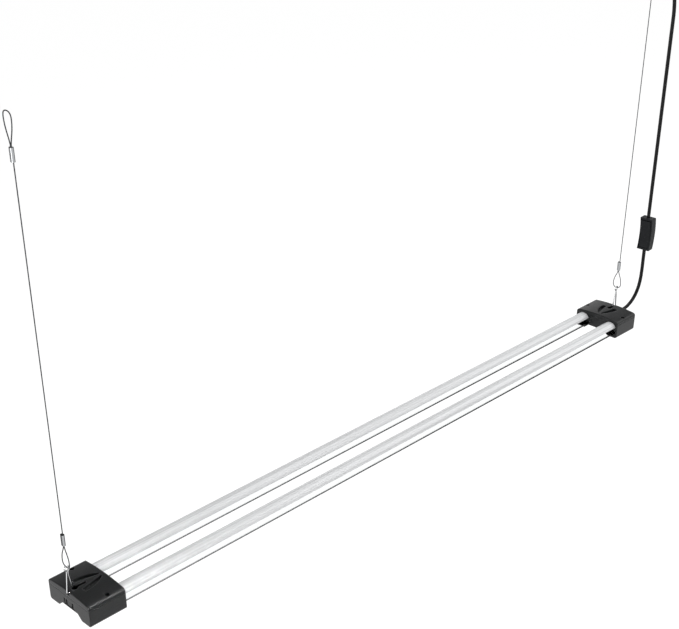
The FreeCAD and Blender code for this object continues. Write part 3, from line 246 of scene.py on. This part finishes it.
def coated_board(name, mask, trace, roughness, track_mm):
    """A circuit board: solder mask over copper tracks, which show as a pattern of raised paths."""
    made, tree = blank(name)
    place = add(tree, "ShaderNodeTexCoord").outputs["Object"]
    tracks = add(
        tree,
        "ShaderNodeTexBrick",
        {"Vector": place, "Scale": per(track_mm), "Color1": WHITE, "Color2": (0.9, 0.9, 0.9, 1),
         "Mortar": BLACK, "Mortar Size": 0.05},
    )
    tone = add(tree, "ShaderNodeValToRGB", {"Fac": tracks}, stops=((0.0, trace), (0.6, mask)))
    relief = add(tree, "ShaderNodeBump", {"Height": tracks, "Strength": 0.3, "Distance": 0.05 * MM})
    shader = add(
        tree, "ShaderNodeBsdfPrincipled", {"Base Color": tone, "Roughness": roughness, "Normal": relief}
    )
    add(tree, "ShaderNodeOutputMaterial", {"Surface": shader})
    return made


def hooked_strap(name):
    """Hook-and-loop strap: a dull knitted pile, drawn a little coarse so that it shows."""
    made, tree = blank(name)
    place = add(tree, "ShaderNodeTexCoord").outputs["Object"]
    pile = add(tree, "ShaderNodeTexVoronoi", {"Vector": place, "Scale": per(0.9)})
    tone = add(tree, "ShaderNodeValToRGB", {"Fac": pile}, stops=((0.0, "#3a3b3d"), (0.6, "#17181a")))
    relief = add(tree, "ShaderNodeBump", {"Height": pile, "Strength": 0.7, "Distance": 0.3 * MM})
    shader = add(
        tree,
        "ShaderNodeBsdfPrincipled",
        {"Base Color": tone, "Roughness": 0.9, "Normal": relief, "Sheen Weight": 0.3},
    )
    add(tree, "ShaderNodeOutputMaterial", {"Surface": shader})
    return made


# Moulded ABS: satin black, with wide soft rims that catch the lamps
cap_abs = smooth_plastic(
    "black_abs_moulded", "#161718", "#1b1c1d", roughness=0.33, grain_mm=0.7, bump=0.3, shine=0.26, edge_mm=2.2
)
# Moulded ABS: a dull, slightly greyer black
switch_abs = smooth_plastic(
    "black_abs_switch", "#222325", "#27282a", roughness=0.36, grain_mm=0.6, bump=0.2, shine=0.05, edge_mm=0.9
)
# Moulded nylon: a deep black with a low gloss
outlet_nylon = smooth_plastic(
    "black_nylon_outlet", "#131415", "#18191a", roughness=0.4, grain_mm=0.6, bump=0.2, shine=0.35
)
# Moulded PVC: black with a soft gloss
plug_pvc = smooth_plastic("black_pvc_plug", "#1e1f20", "#242526", roughness=0.4, grain_mm=0.8, bump=0.2)
# Extruded PVC: a smooth deep black with little gloss
cord_pvc = smooth_plastic(
    "black_pvc_jacket", "#0c0c0d", "#111112", roughness=0.36, grain_mm=1.2, bump=0.15, shine=0.15
)
# Extruded PVC: smooth off-white
lead_pvc = smooth_plastic("white_pvc_leads", "#dcdcd6", "#e6e6e0", roughness=0.42, grain_mm=1.0, bump=0.1)
# Sintered ferrite: matt grey
ferrite = smooth_plastic("grey_ferrite", "#3d3c3b", "#494846", roughness=0.6, grain_mm=0.5, bump=0.3)
# Shrunk film: glossy blue-black
sleeve_film = smooth_plastic(
    "black_shrink_sleeve", "#1a1c24", "#22242c", roughness=0.28, grain_mm=4.0, bump=0.1
)
# Wound polyester tape: smooth yellow
core_tape = smooth_plastic(
    "yellow_polyester_tape", "#c4a534", "#d6b84a", roughness=0.35, grain_mm=5.0, bump=0.15
)
aluminium = extruded_aluminium("satin_anodised_aluminium")
lens_clear = clear_polycarbonate("clear_polycarbonate")
# The second colour of each bright metal is a painted dark rim: painted reflection where the metal turns away
# from the eye
# Plated drawn wire: nearly a mirror
wire_bright = bright_metal("bright_plated_wire", "#eeeff0", "#2c2d2e", roughness=0.12)
# Drawn stainless wire: grey, with a softer shine
strand_steel = bright_metal("stainless_strand", "#585a5c", "#18191a", roughness=0.35)
# Pressed aluminium: pale and bright
sleeve_metal = bright_metal("crimped_aluminium_sleeve", "#b4b6b8", "#2c2d2e", roughness=0.25)
# Steel with a black oxide: nearly black
screw_metal = worked_metal("black_oxide_screw", "#232323", "#38393a", roughness=0.4, blotch_mm=1.0)
# Stamped and plated brass: pale yellow
blade_metal = worked_metal("plated_brass", "#c8b482", "#d2c08f", roughness=0.28, blotch_mm=6.0)
# Printed mask over metal: white with faint grey paths
board_white = coated_board("white_solder_mask", "#eef0ec", "#d9dcd6", roughness=0.4, track_mm=11.0)
# Pressed laminate: green with lighter paths
board_green = coated_board("green_laminate", "#1f5b34", "#2f7a49", roughness=0.45, track_mm=5.0)
# Moulded resin: matt white
package_white = smooth_plastic(
    "white_led_package", "#e9e9e4", "#f3f3ef", roughness=0.5, grain_mm=0.5, bump=0.1
)
# Cast gel: glossy yellow
phosphor = smooth_plastic(
    "yellow_phosphor_gel", "#d9b83c", "#e6c955", roughness=0.25, grain_mm=0.4, bump=0.1
)
strap_pile = hooked_strap("hook_and_loop_strap")


def finish_node(material, *names):
    """Gives CAD nodes one material."""
    for name in names:
        node = nodes[name]
        node.data.materials.clear()
        node.data.materials.append(material)


finish_node(
    cap_abs, "near_cap_cover", "near_cap_housing", "far_cap_cover", "far_cap_housing", "lens_end_plugs"
)
finish_node(aluminium, "left_heat_sink", "right_heat_sink")
finish_node(lens_clear, "left_lens", "right_lens")
finish_node(board_white, "left_led_board", "right_led_board")
finish_node(lead_pvc, "mains_leads")
finish_node(outlet_nylon, "link_outlet")
finish_node(blade_metal, "outlet_contacts", "switch_contacts", "plug_blades")
finish_node(board_green, "driver_board")
finish_node(core_tape, "driver_transformer")
finish_node(sleeve_film, "driver_capacitor")
finish_node(ferrite, "driver_choke")
finish_node(cord_pvc, "cord_strain_relief")
finish_node(plug_pvc, "plug_body")
finish_node(switch_abs, "switch_back", "switch_front", "switch_rocker")
finish_node(wire_bright, "near_bail", "far_bail")
finish_node(sleeve_metal, "cable_ferrules")


# Curves and meshes

# How finely a route's curve and a round bar's outline are drawn
LINE_STEPS = 8
BAR_STEPS = 5


def smooth_line(name, points, radius=0.0):
    """A smooth open curve guided by the route's points, and a round bar where it has a radius."""
    line = bpy.data.curves.new(name, "CURVE")
    line.dimensions = "3D"
    line.resolution_u = LINE_STEPS
    line.bevel_depth = radius
    line.bevel_resolution = BAR_STEPS
    line.use_fill_caps = True
    run = line.splines.new("NURBS")
    run.points.add(len(points) - 1)
    for point, place in zip(run.points, points):
        point.co = (*place, 1.0)
    run.order_u = 3
    run.use_endpoint_u = True
    made = bpy.data.objects.new(name, line)
    bpy.context.collection.objects.link(made)
    return made


def as_mesh(made, name):
    """The evaluated shape of an object as a new plain mesh."""
    bpy.context.view_layer.update()
    depsgraph = bpy.context.evaluated_depsgraph_get()
    mesh = bpy.data.meshes.new_from_object(made.evaluated_get(depsgraph), depsgraph=depsgraph)
    mesh.name = name
    return mesh


def line_points(points):
    """The places along the smooth curve of a route, in order."""
    guide = smooth_line("guide", points)
    mesh = as_mesh(guide, "guide")
    places = [vertex.co.copy() for vertex in mesh.vertices]
    curve = guide.data
    bpy.data.objects.remove(guide)
    bpy.data.curves.remove(curve)
    bpy.data.meshes.remove(mesh)
    return places


def mesh_piece(name, mesh, material=None):
    """A plain mesh object at the origin."""
    made = bpy.data.objects.new(name, mesh)
    bpy.context.collection.objects.link(made)
    if material:
        mesh.materials.clear()
        mesh.materials.append(material)
    return made


def smooth_faces(mesh):
    """Shades a mesh as one smooth surface."""
    for face in mesh.polygons:
        face.use_smooth = True


# Mains cord, in two runs with the switch between them

# The lower run, in millimetres past the far cap's end face and above the tubes' axes
LOWER_ROUTE = (
    (20.3, 0.6), (34.0, 0.6), (46.5, 4.0), (60.0, 11.6), (71.2, 25.0), (77.4, 43.0), (78.8, 64.0),
    (78.2, 88.0), (78.0, 108.4),
)


def lower_cord():
    """From the relief in the far cap, round and up into the switch."""
    points = [past_end(out, 0, up) for out, up in LOWER_ROUTE]
    shape = smooth_line("lower_cord_line", points, CORD / 2 * MM)
    mesh = as_mesh(shape, "lower_cord")
    bpy.data.objects.remove(shape)
    cord = mesh_piece("lower_cord", mesh, cord_pvc)
    smooth_faces(mesh)
    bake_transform(cord)
    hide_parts("cord_lower")
    line_points(points)


# The coil, in millimetres: its middle, the radius of its outer turn, the pitch of its turns and of its
# layers, and where the first layer is across the light
COIL_OUT = 33.7
COIL_UP = 626.0
COIL_RADIUS = 41.5
TURN_STEP = 7.1
LAYER_STEP = 7.0
LAYER_ASIDE = 9.8
# The turn that each layer makes, the whole turn, and about how many degrees apart the coil's points are
LAYER_TURN = math.radians(640)
COIL_TURN = 2 * LAYER_TURN + math.pi
POINT_DEGREES = 20

# The end of the cord, in millimetres: the radius of its bend over to the plug, and where it is across the
# light as it leaves the coil and at the plug
TAIL_RADIUS = 29.0
CLEAR_ASIDE = LAYER_ASIDE + 2 * LAYER_STEP
PLUG_ASIDE = 29.0
# The bend's points: degrees round it, and the share of the way across
TAIL_POINTS = ((48, 0.2), (76, 0.4), (104, 0.6), (132, 0.8), (160, 0.95))


def coil_place(angle):
    """A point of the wound cord: in along one layer, over, out along the next, and clear of both."""
    inner = COIL_RADIUS - TURN_STEP * LAYER_TURN / math.tau
    past = angle - LAYER_TURN
    if past < 0:
        radius, layer = COIL_RADIUS - TURN_STEP * angle / math.tau, 0.0
    elif past < math.pi:
        radius, layer = inner - TURN_STEP * math.sin(past) / math.tau, (1 - math.cos(past)) / 2
    elif past < LAYER_TURN + math.pi / 2:
        radius, layer = inner + TURN_STEP * (past - math.pi) / math.tau, 1.0
    else:
        radius = inner + TURN_STEP * (LAYER_TURN - math.pi / 2) / math.tau
        layer = 1 + (1 - math.cos(2 * (past - LAYER_TURN - math.pi / 2))) / 2
    return past_end(
        COIL_OUT + radius * math.cos(angle),
        LAYER_ASIDE + layer * LAYER_STEP,
        COIL_UP + radius * math.sin(angle),
    )


def tail_reach(angle):
    """From the middle of the last bend to its line, in metres."""
    return Vector((math.cos(angle), 0, math.sin(angle))) * TAIL_RADIUS * MM


def upper_cord():
    """From the switch up past the far rope, and the spare length as a coil that ends in the plug."""
    points = [
        past_end(78.0, 0, 169.4), past_end(75.5, 0, 506.0), past_end(75.2, 0, 551.0),
        past_end(75.2, LAYER_ASIDE, 596.0), past_end(75.2, LAYER_ASIDE, 619.6),
    ]
    steps = round(math.degrees(COIL_TURN) / POINT_DEGREES)
    points += [coil_place(COIL_TURN * index / steps) for index in range(steps + 1)]
    middle = coil_place(COIL_TURN) - tail_reach(COIL_TURN)
    for degrees, share in TAIL_POINTS:
        place = middle + tail_reach(math.radians(degrees))
        place.y = (CLEAR_ASIDE + (PLUG_ASIDE - CLEAR_ASIDE) * share) * MM
        points.append(place)
    hang = middle - Vector((TAIL_RADIUS * MM, 0, 0))
    hang.y = PLUG_ASIDE * MM
    points += [hang, hang - Vector((0, 0, CORD * MM))]
    cord = smooth_line("upper_cord", points, CORD / 2 * MM)
    cord.data.materials.append(cord_pvc)
    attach(cord, "suspension")
    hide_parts("cord_upper", "cord_coil")
    return cord, points[0]


# The strap, in millimetres: its thickness, the radius of its outer corners and the rounding of its edges
STRAP_WALL = 1.2
STRAP_CORNER = 2.8
STRAP_EDGE = 0.35
# Straight steps in the outline of one corner
CORNER_STEPS = 6


def coil_strap():
    """The strap round the coil and one side of the top loop."""
    low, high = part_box("coil_tie")
    wall = STRAP_WALL * MM
    corner = STRAP_CORNER * MM
    outline = []
    for centre_x, centre_y, start in (
        (high.x - corner, high.y - corner, 0),
        (low.x + corner, high.y - corner, 90),
        (low.x + corner, low.y + corner, 180),
        (high.x - corner, low.y + corner, 270),
    ):
        for step in range(CORNER_STEPS + 1):
            angle = math.radians(start + 90 * step / CORNER_STEPS)
            outline.append((centre_x, centre_y, math.cos(angle), math.sin(angle)))
    built = bmesh.new()
    rings = []
    for depth, height in ((0.0, low.z), (0.0, high.z), (wall, high.z), (wall, low.z)):
        rings.append(
            [
                built.verts.new((x + (corner - depth) * c, y + (corner - depth) * s, height))
                for x, y, c, s in outline
            ]
        )
    count = len(outline)
    for ring, after in zip(rings, rings[1:] + rings[:1]):
        for index in range(count):
            step = (index + 1) % count
            built.faces.new((ring[index], ring[step], after[step], after[index]))
    bmesh.ops.recalc_face_normals(built, faces=built.faces)
    mesh = bpy.data.meshes.new("coil_strap")
    built.to_mesh(mesh)
    built.free()
    strap = mesh_piece("coil_strap", mesh, strap_pile)
    smooth_faces(mesh)
    edge = strap.modifiers.new("soft_edge", "BEVEL")
    edge.width = STRAP_EDGE * MM
    edge.segments = 2
    edge.limit_method = "ANGLE"
    strap.data = as_mesh(strap, "coil_strap")
    strap.modifiers.clear()
    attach(strap, "suspension")
    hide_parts("coil_tie")
    return strap


# Wire ropes

# The ropes' lay: its length in millimetres, the strands round the core, the sides of a strand, and the
# distance between two points along it in millimetres
LAY_LENGTH = 9.0
STRANDS = 6
STRAND_SIDES = 6
LAY_STEP = 1.0

# In millimetres, across the light or above the tubes' axes: half the distance between the two runs in a
# sleeve, the sleeves' lower and upper ends, and the low loop's half width and heights
PAIR = 0.85
LOW_SLEEVE = (89.65, 105.65)
TOP_SLEEVE = (583.75, 599.75)
LOW_HALF = 7.75
LOW_BOTTOM = 55.65
LOW_TURN = 71.15
LOW_NECK = 85.775
# The top loops' height, and for each its half width and the heights where its sides start to turn and part
LOOP_TOP = 638.75
TOP_LOOP = {"near": (7.75, 623.25, 603.625), "far": (5.25, 628.25, 602.375)}
# How far in from the caps' end faces the ropes hang
ROPE_INSET = 3.0


def shape_tree(name, *sizes):
    """A new geometry tree that takes a shape and these named sizes, each with its kind."""
    tree = bpy.data.node_groups.new(name, "GeometryNodeTree")
    face = tree.interface
    for label, kind in (("Geometry", "Geometry"), *sizes):
        face.new_socket(label, in_out="INPUT", socket_type=f"NodeSocket{kind}")
    face.new_socket("Geometry", in_out="OUTPUT", socket_type="NodeSocketGeometry")
    return tree


def grown(name, holder, tree, **sizes):
    """Runs a tree on an object with the given inputs, and keeps the result as a plain mesh."""
    grow = holder.modifiers.new("grow", "NODES")
    grow.node_group = tree
    for socket in tree.interface.items_tree:
        key = socket.name.replace(" ", "_").lower()
        if socket.in_out == "INPUT" and key in sizes:
            grow[socket.identifier] = sizes[key]
    mesh = as_mesh(holder, name)
    bpy.data.objects.remove(holder)
    return mesh_piece(name, mesh)


def strand_tree():
    """Lays strands round a core along a curve, each a share of a turn ahead of the one before."""
    tree = shape_tree(
        "laid_strands",
        ("Strand radius", "Float"), ("Lay radius", "Float"), ("Lay length", "Float"), ("Step", "Float"),
        ("Strands", "Int"), ("Material", "Material"),
    )
    given = add(tree, "NodeGroupInput").outputs
    even = add(
        tree,
        "GeometryNodeResampleCurve",
        {"Curve": given["Geometry"], "Length": given["Step"]},
        mode="LENGTH",
    )
    copies = add(
        tree, "GeometryNodeDuplicateElements", {"Geometry": even, "Amount": given["Strands"]}, domain="SPLINE"
    )
    strand_number = copies.outputs["Duplicate Index"]
    share = add(tree, "ShaderNodeMath", {0: strand_number, 1: given["Strands"]}, operation="DIVIDE")
    along = add(tree, "GeometryNodeSplineParameter").outputs["Length"]
    turns = add(tree, "ShaderNodeMath", {0: along, 1: given["Lay length"]}, operation="DIVIDE")
    ahead = add(tree, "ShaderNodeMath", {0: turns, 1: share}, operation="ADD")
    angle = add(tree, "ShaderNodeMath", {0: ahead, 1: math.tau}, operation="MULTIPLY")
    tangent = add(tree, "GeometryNodeInputTangent")
    normal = add(tree, "GeometryNodeInputNormal")
    side = add(tree, "ShaderNodeVectorMath", {0: tangent, 1: normal}, operation="CROSS_PRODUCT")
    reach = []
    for way, operation in ((normal, "COSINE"), (side, "SINE")):
        part = add(tree, "ShaderNodeMath", {0: angle}, operation=operation)
        reach.append(add(tree, "ShaderNodeVectorMath", {0: way, "Scale": part}, operation="SCALE"))
    out = add(tree, "ShaderNodeVectorMath", {0: reach[0], 1: reach[1]}, operation="ADD")
    offset = add(tree, "ShaderNodeVectorMath", {0: out, "Scale": given["Lay radius"]}, operation="SCALE")
    laid = add(tree, "GeometryNodeSetPosition", {"Geometry": copies, "Offset": offset})
    ring = add(
        tree,
        "GeometryNodeCurvePrimitiveCircle",
        {"Resolution": STRAND_SIDES, "Radius": given["Strand radius"]},
    )
    bars = [
        add(tree, "GeometryNodeCurveToMesh", {"Curve": line, "Profile Curve": ring, "Fill Caps": True})
        for line in (laid, even)
    ]
    rope = add(tree, "GeometryNodeJoinGeometry", {"Geometry": bars})
    real = add(tree, "GeometryNodeRealizeInstances", {"Geometry": rope})
    done = add(tree, "GeometryNodeSetMaterial", {"Geometry": real, "Material": given["Material"]})
    add(tree, "NodeGroupOutput", {"Geometry": done})
    return tree


def hanging_rope(end, side, tree):
    """One wire rope: a loop through the bail's eye, a straight run and a loop over the hook."""
    half, turn, neck = TOP_LOOP[end]
    low_start, low_end = LOW_SLEEVE
    top_start, top_end = TOP_SLEEVE
    route = (
        (PAIR, low_end), (PAIR, low_start), (PAIR, LOW_NECK), (LOW_HALF, LOW_TURN), (LOW_HALF, LOW_BOTTOM),
        (-LOW_HALF, LOW_BOTTOM), (-LOW_HALF, LOW_TURN), (-PAIR, LOW_NECK), (-PAIR, low_start),
        (-PAIR, low_end), (-PAIR, top_start), (-PAIR, top_end), (-PAIR, neck), (-half, turn),
        (-half, LOOP_TOP), (half, LOOP_TOP), (half, turn), (PAIR, neck), (PAIR, top_end), (PAIR, top_start),
    )
    points = [at(side * (FAR_END - ROPE_INSET), aside, up) for aside, up in route]
    rope = grown(
        f"{end}_rope",
        smooth_line(f"{end}_rope_line", points),
        tree,
        strand_radius=ROPE / 6 * MM,
        lay_radius=ROPE / 3 * MM,
        lay_length=LAY_LENGTH * MM,
        step=LAY_STEP * MM,
        strands=STRANDS,
        material=strand_steel,
    )
    smooth_faces(rope.data)
    path = line_points(points)
    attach(rope, "suspension")
    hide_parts(f"{end}_cable", f"{end}_low_loop", f"{end}_top_loop")


lower_cord()
upper, switch_top = upper_cord()
strap = coil_strap()
rope_tree = strand_tree()
hanging_rope("near", -1, rope_tree)
hanging_rope("far", 1, rope_tree)


# LED packages

# In millimetres: the distance from one package to the next, a package's length and its gel's radius
LED_PITCH = 22.0
LED_LENGTH = 3.5
GEL_RADIUS = 1.15
# The gel's place under the body's middle and its thickness, as shares of the body's height
GEL_DROP = -0.48
GEL_THICKNESS = 0.16
# Sides of the gel's round outline
GEL_SIDES = 16


def package_tree():
    """Sets packages in a row under a board: a body, and the gel in its face."""
    tree = shape_tree(
        "led_row",
        ("Count", "Int"), ("Pitch", "Float"), ("Length", "Float"), ("Width", "Float"), ("Height", "Float"),
        ("Gel radius", "Float"), ("First", "Vector"), ("Body material", "Material"),
        ("Gel material", "Material"),
    )
    given = add(tree, "NodeGroupInput").outputs
    step = add(tree, "ShaderNodeCombineXYZ", {"X": given["Pitch"]})
    row = add(
        tree,
        "GeometryNodeMeshLine",
        {"Count": given["Count"], "Start Location": given["First"], "Offset": step},
    )
    height = given["Height"]
    size = add(tree, "ShaderNodeCombineXYZ", {"X": given["Length"], "Y": given["Width"], "Z": height})
    body = add(tree, "GeometryNodeMeshCube", {"Size": size})
    thick = add(tree, "ShaderNodeMath", {0: height, 1: GEL_THICKNESS}, operation="MULTIPLY")
    disc = add(
        tree,
        "GeometryNodeMeshCylinder",
        {"Vertices": GEL_SIDES, "Radius": given["Gel radius"], "Depth": thick},
    )
    down = add(tree, "ShaderNodeMath", {0: height, 1: GEL_DROP}, operation="MULTIPLY")
    gel_place = add(tree, "ShaderNodeCombineXYZ", {"Z": down})
    gel = add(tree, "GeometryNodeTransform", {"Geometry": disc, "Translation": gel_place})
    rows = []
    for shape, finish in ((body, "Body material"), (gel, "Gel material")):
        set_out = add(tree, "GeometryNodeInstanceOnPoints", {"Points": row, "Instance": shape})
        real = add(tree, "GeometryNodeRealizeInstances", {"Geometry": set_out})
        rows.append(add(tree, "GeometryNodeSetMaterial", {"Geometry": real, "Material": given[finish]}))
    both = add(tree, "GeometryNodeJoinGeometry", {"Geometry": rows})
    add(tree, "NodeGroupOutput", {"Geometry": both})
    return tree


def led_row(side, tree):
    """The packages of one board, where the CAD's plain chips are."""
    low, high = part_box(f"{side}_led_chips")
    pitch, length = LED_PITCH * MM, LED_LENGTH * MM
    holder = f"{side}_led_row"
    row = grown(
        f"{side}_led_packages",
        mesh_piece(holder, bpy.data.meshes.new(holder)),
        tree,
        count=round((high.x - low.x - length) / pitch) + 1,
        pitch=pitch,
        length=length,
        width=high.y - low.y,
        height=high.z - low.z,
        gel_radius=GEL_RADIUS * MM,
        first=Vector((low.x + length / 2, (low.y + high.y) / 2, (low.z + high.z) / 2)),
        body_material=package_white,
        gel_material=phosphor,
    )
    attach(row, "fixture")
    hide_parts(f"{side}_led_chips")


# Screws

# In millimetres: the head, the shank and the width of the cross recess
HEAD_RADIUS = 3.2
HEAD_HEIGHT = 1.8
SHANK_RADIUS = 1.45
BLADE_WIDTH = 0.9
# The upper rim and the recess's length as shares of the head's radius, and the height of the cutter, half of
# which is above the head, as a share of the head's
RIM_SHARE = 0.82
RECESS_SHARE = 1.15
CUTTER_SHARE = 1.2
# Sides of the round outlines
HEAD_SIDES = 24
SHANK_SIDES = 16


def screw_tree():
    """Pan heads with a cross recess on their shanks, one at each point given."""
    tree = shape_tree(
        "cross_screws",
        ("Head radius", "Float"), ("Head height", "Float"), ("Shank radius", "Float"),
        ("Shank length", "Float"), ("Blade width", "Float"), ("Material", "Material"),
    )
    given = add(tree, "NodeGroupInput").outputs
    radius, height, width = given["Head radius"], given["Head height"], given["Blade width"]
    rim = add(tree, "ShaderNodeMath", {0: radius, 1: RIM_SHARE}, operation="MULTIPLY")
    cone = add(
        tree,
        "GeometryNodeMeshCone",
        {"Vertices": HEAD_SIDES, "Radius Top": rim, "Radius Bottom": radius, "Depth": height},
    )
    drop = add(tree, "ShaderNodeMath", {0: height, 1: -1.0}, operation="MULTIPLY")
    head_place = add(tree, "ShaderNodeCombineXYZ", {"Z": drop})
    head = add(tree, "GeometryNodeTransform", {"Geometry": cone, "Translation": head_place})
    span = add(tree, "ShaderNodeMath", {0: radius, 1: RECESS_SHARE}, operation="MULTIPLY")
    depth = add(tree, "ShaderNodeMath", {0: height, 1: CUTTER_SHARE}, operation="MULTIPLY")
    cutters = []
    for x, y in ((span, width), (width, span)):
        size = add(tree, "ShaderNodeCombineXYZ", {"X": x, "Y": y, "Z": depth})
        cutters.append(add(tree, "GeometryNodeMeshCube", {"Size": size}))
    cross = add(tree, "GeometryNodeMeshBoolean", {"Mesh 2": cutters}, operation="UNION", solver="EXACT")
    recessed = add(
        tree,
        "GeometryNodeMeshBoolean",
        {"Mesh 1": head, "Mesh 2": cross},
        operation="DIFFERENCE",
        solver="EXACT",
    )
    bar = add(
        tree,
        "GeometryNodeMeshCylinder",
        {"Vertices": SHANK_SIDES, "Radius": given["Shank radius"], "Depth": given["Shank length"]},
    )
    half = add(tree, "ShaderNodeMath", {0: given["Shank length"], 1: -0.5}, operation="MULTIPLY")
    under = add(tree, "ShaderNodeMath", {0: half, 1: drop}, operation="ADD")
    shank_place = add(tree, "ShaderNodeCombineXYZ", {"Z": under})
    shank = add(tree, "GeometryNodeTransform", {"Geometry": bar, "Translation": shank_place})
    screw = add(tree, "GeometryNodeJoinGeometry", {"Geometry": [recessed, shank]})
    set_out = add(tree, "GeometryNodeInstanceOnPoints", {"Points": given["Geometry"], "Instance": screw})
    real = add(tree, "GeometryNodeRealizeInstances", {"Geometry": set_out})
    done = add(tree, "GeometryNodeSetMaterial", {"Geometry": real, "Material": given["Material"]})
    add(tree, "NodeGroupOutput", {"Geometry": done})
    return tree


def cap_screws():
    """The four screws at the bottom of the caps' recesses."""
    low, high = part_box("cap_screws")
    radius, height = HEAD_RADIUS * MM, HEAD_HEIGHT * MM
    places = [
        (x, y, high.z)
        for x in (low.x + radius, high.x - radius)
        for y in (low.y + radius, high.y - radius)
    ]
    corners = bpy.data.meshes.new("screw_points")
    corners.from_pydata(places, [], [])
    screws = grown(
        "cap_screws_cross",
        mesh_piece("screw_points", corners),
        screw_tree(),
        head_radius=radius,
        head_height=height,
        shank_radius=SHANK_RADIUS * MM,
        shank_length=high.z - low.z - height,
        blade_width=BLADE_WIDTH * MM,
        material=screw_metal,
    )
    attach(screws, "fixture")
    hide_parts("cap_screws")


packages = package_tree()
led_row("left", packages)
led_row("right", packages)
cap_screws()


# Studio

# In metres: half the floor's side, and its height
FLOOR_HALF = 12.0
FLOOR_LEVEL = -1.25
# The light that the floor shows by itself, to which the lamps add
FLOOR_GLOW = 0.93
# The room's brightness low down and overhead, and the heights of view between which it changes
ROOM_LOW = 1.0
ROOM_HIGH = 0.17
DIM_FROM = 0.3
DIM_TO = 0.46
# Lamps: place, aim and size in metres, power in watts and the angle of the beam in degrees
LAMPS = (
    ("left_panel", (-2.6, 0.2, -0.4), (-0.6, 0.0, -0.62), (1.6, 1.0), 18.0, 180),
    ("overhead_bank", (1.35, -0.45, 0.87), (1.35, -0.45, -0.62), (3.1, 2.1), 25.0, 180),
    ("overhead_strip", (1.45, -0.5, 0.8), (1.45, -0.5, -0.62), (2.9, 0.2), 1.8, 180),
    ("top_panel", (-0.1, 0.3, 1.15), (-0.1, 0.3, -0.62), (2.6, 0.5), 9.0, 180),
    ("back_strip", (2.1, 2.0, -0.05), (2.1, 0.0, -0.62), (2.6, 0.3), 4.5, 180),
    ("near_front_lamp", (0.17, -1.07, 0.61), (-0.58, 0.0, -0.62), (0.4, 0.4), 4.5, 180),
    ("near_narrow_beam", (0.17, -1.07, 0.61), (-0.6, -0.03, -0.62), (0.2, 0.2), 0.075, 11),
    ("far_front_lamp", (2.57, -1.07, 0.62), (0.58, 0.0, -0.62), (0.4, 0.4), 3.5, 180),
)
# The camera's place in millimetres from the middle of the light, and its aim in degrees
CAMERA_PLACE = (-1287.8, -1160.4, 1021.5)
CAMERA_DOWN = 30.12
CAMERA_TURN = -45.16
# Its sensor and lens in millimetres, and the shift as shares of the picture
SENSOR_WIDTH = 36.0
FOCAL_LENGTH = 67.73
LENS_SHIFT = (0.002, 0.159)


def pale_floor():
    """A floor far below that the eye, reflections and the clear lenses see as white with a soft shadow.
    From under it, the view is open."""
    mesh = bpy.data.meshes.new("floor")
    sides = ((-1, -1), (1, -1), (1, 1), (-1, 1))
    mesh.from_pydata([(x * FLOOR_HALF, y * FLOOR_HALF, FLOOR_LEVEL) for x, y in sides], [], [(0, 1, 2, 3)])
    made, tree = blank("pale_floor")
    path = add(tree, "ShaderNodeLightPath").outputs
    matt = add(tree, "ShaderNodeBsdfDiffuse", {"Color": hexa("#f2f2f2")})
    shade = add(tree, "ShaderNodeBsdfDiffuse", {"Color": hexa("#808080")})
    glow = add(tree, "ShaderNodeEmission", {"Color": WHITE, "Strength": FLOOR_GLOW})
    bright = add(tree, "ShaderNodeAddShader", {0: shade, 1: glow})
    seen = path["Is Camera Ray"]
    for ray in ("Is Glossy Ray", "Is Transmission Ray"):
        seen = add(tree, "ShaderNodeMath", {0: seen, 1: path[ray]}, operation="MAXIMUM")
    above = add(tree, "ShaderNodeMixShader", {"Fac": seen, 1: matt, 2: bright})
    under = add(tree, "ShaderNodeNewGeometry").outputs["Backfacing"]
    clear = add(tree, "ShaderNodeBsdfTransparent")
    open_below = add(tree, "ShaderNodeMixShader", {"Fac": under, 1: above, 2: clear})
    add(tree, "ShaderNodeOutputMaterial", {"Surface": open_below})
    floor = mesh_piece("floor", mesh, made)


def white_room():
    """A room that is white all round and below, and dim overhead."""
    world = bpy.data.worlds.new("white_room")
    bpy.context.scene.world = world
    world.use_nodes = True
    tree = world.node_tree
    tree.nodes.clear()
    way = add(tree, "ShaderNodeTexCoord").outputs["Object"]
    height = add(tree, "ShaderNodeSeparateXYZ", {"Vector": way}).outputs["Z"]
    level = add(
        tree,
        "ShaderNodeMapRange",
        {"Value": height, "From Min": DIM_FROM, "From Max": DIM_TO, "To Min": ROOM_LOW, "To Max": ROOM_HIGH},
    )
    light = add(tree, "ShaderNodeBackground", {"Color": WHITE, "Strength": level})
    add(tree, "ShaderNodeOutputWorld", {"Surface": light})


def hang_lamps():
    """Soft panels and strips, and a narrow beam on the near cap."""
    for name, place, aim, size, power, spread in LAMPS:
        lamp = bpy.data.lights.new(name, "AREA")
        lamp.shape = "RECTANGLE"
        lamp.size, lamp.size_y = size
        lamp.energy = power
        lamp.spread = math.radians(spread)
        stand = bpy.data.objects.new(name, lamp)
        stand.location = place
        stand.rotation_euler = (Vector(aim) - Vector(place)).to_track_quat("-Z", "Y").to_euler()
        bpy.context.collection.objects.link(stand)


def set_camera():
    """The photograph's view."""
    lens = bpy.data.cameras.new("camera")
    lens.sensor_width = SENSOR_WIDTH
    lens.lens = FOCAL_LENGTH
    lens.shift_x, lens.shift_y = LENS_SHIFT
    camera = bpy.data.objects.new("camera", lens)
    camera.location = at(*CAMERA_PLACE)
    camera.rotation_euler = (math.radians(90 - CAMERA_DOWN), 0, math.radians(CAMERA_TURN))
    bpy.context.collection.objects.link(camera)
    bpy.context.scene.camera = camera
    bpy.context.scene.view_settings.view_transform = "Standard"


pale_floor()
white_room()
hang_lamps()
set_camera()
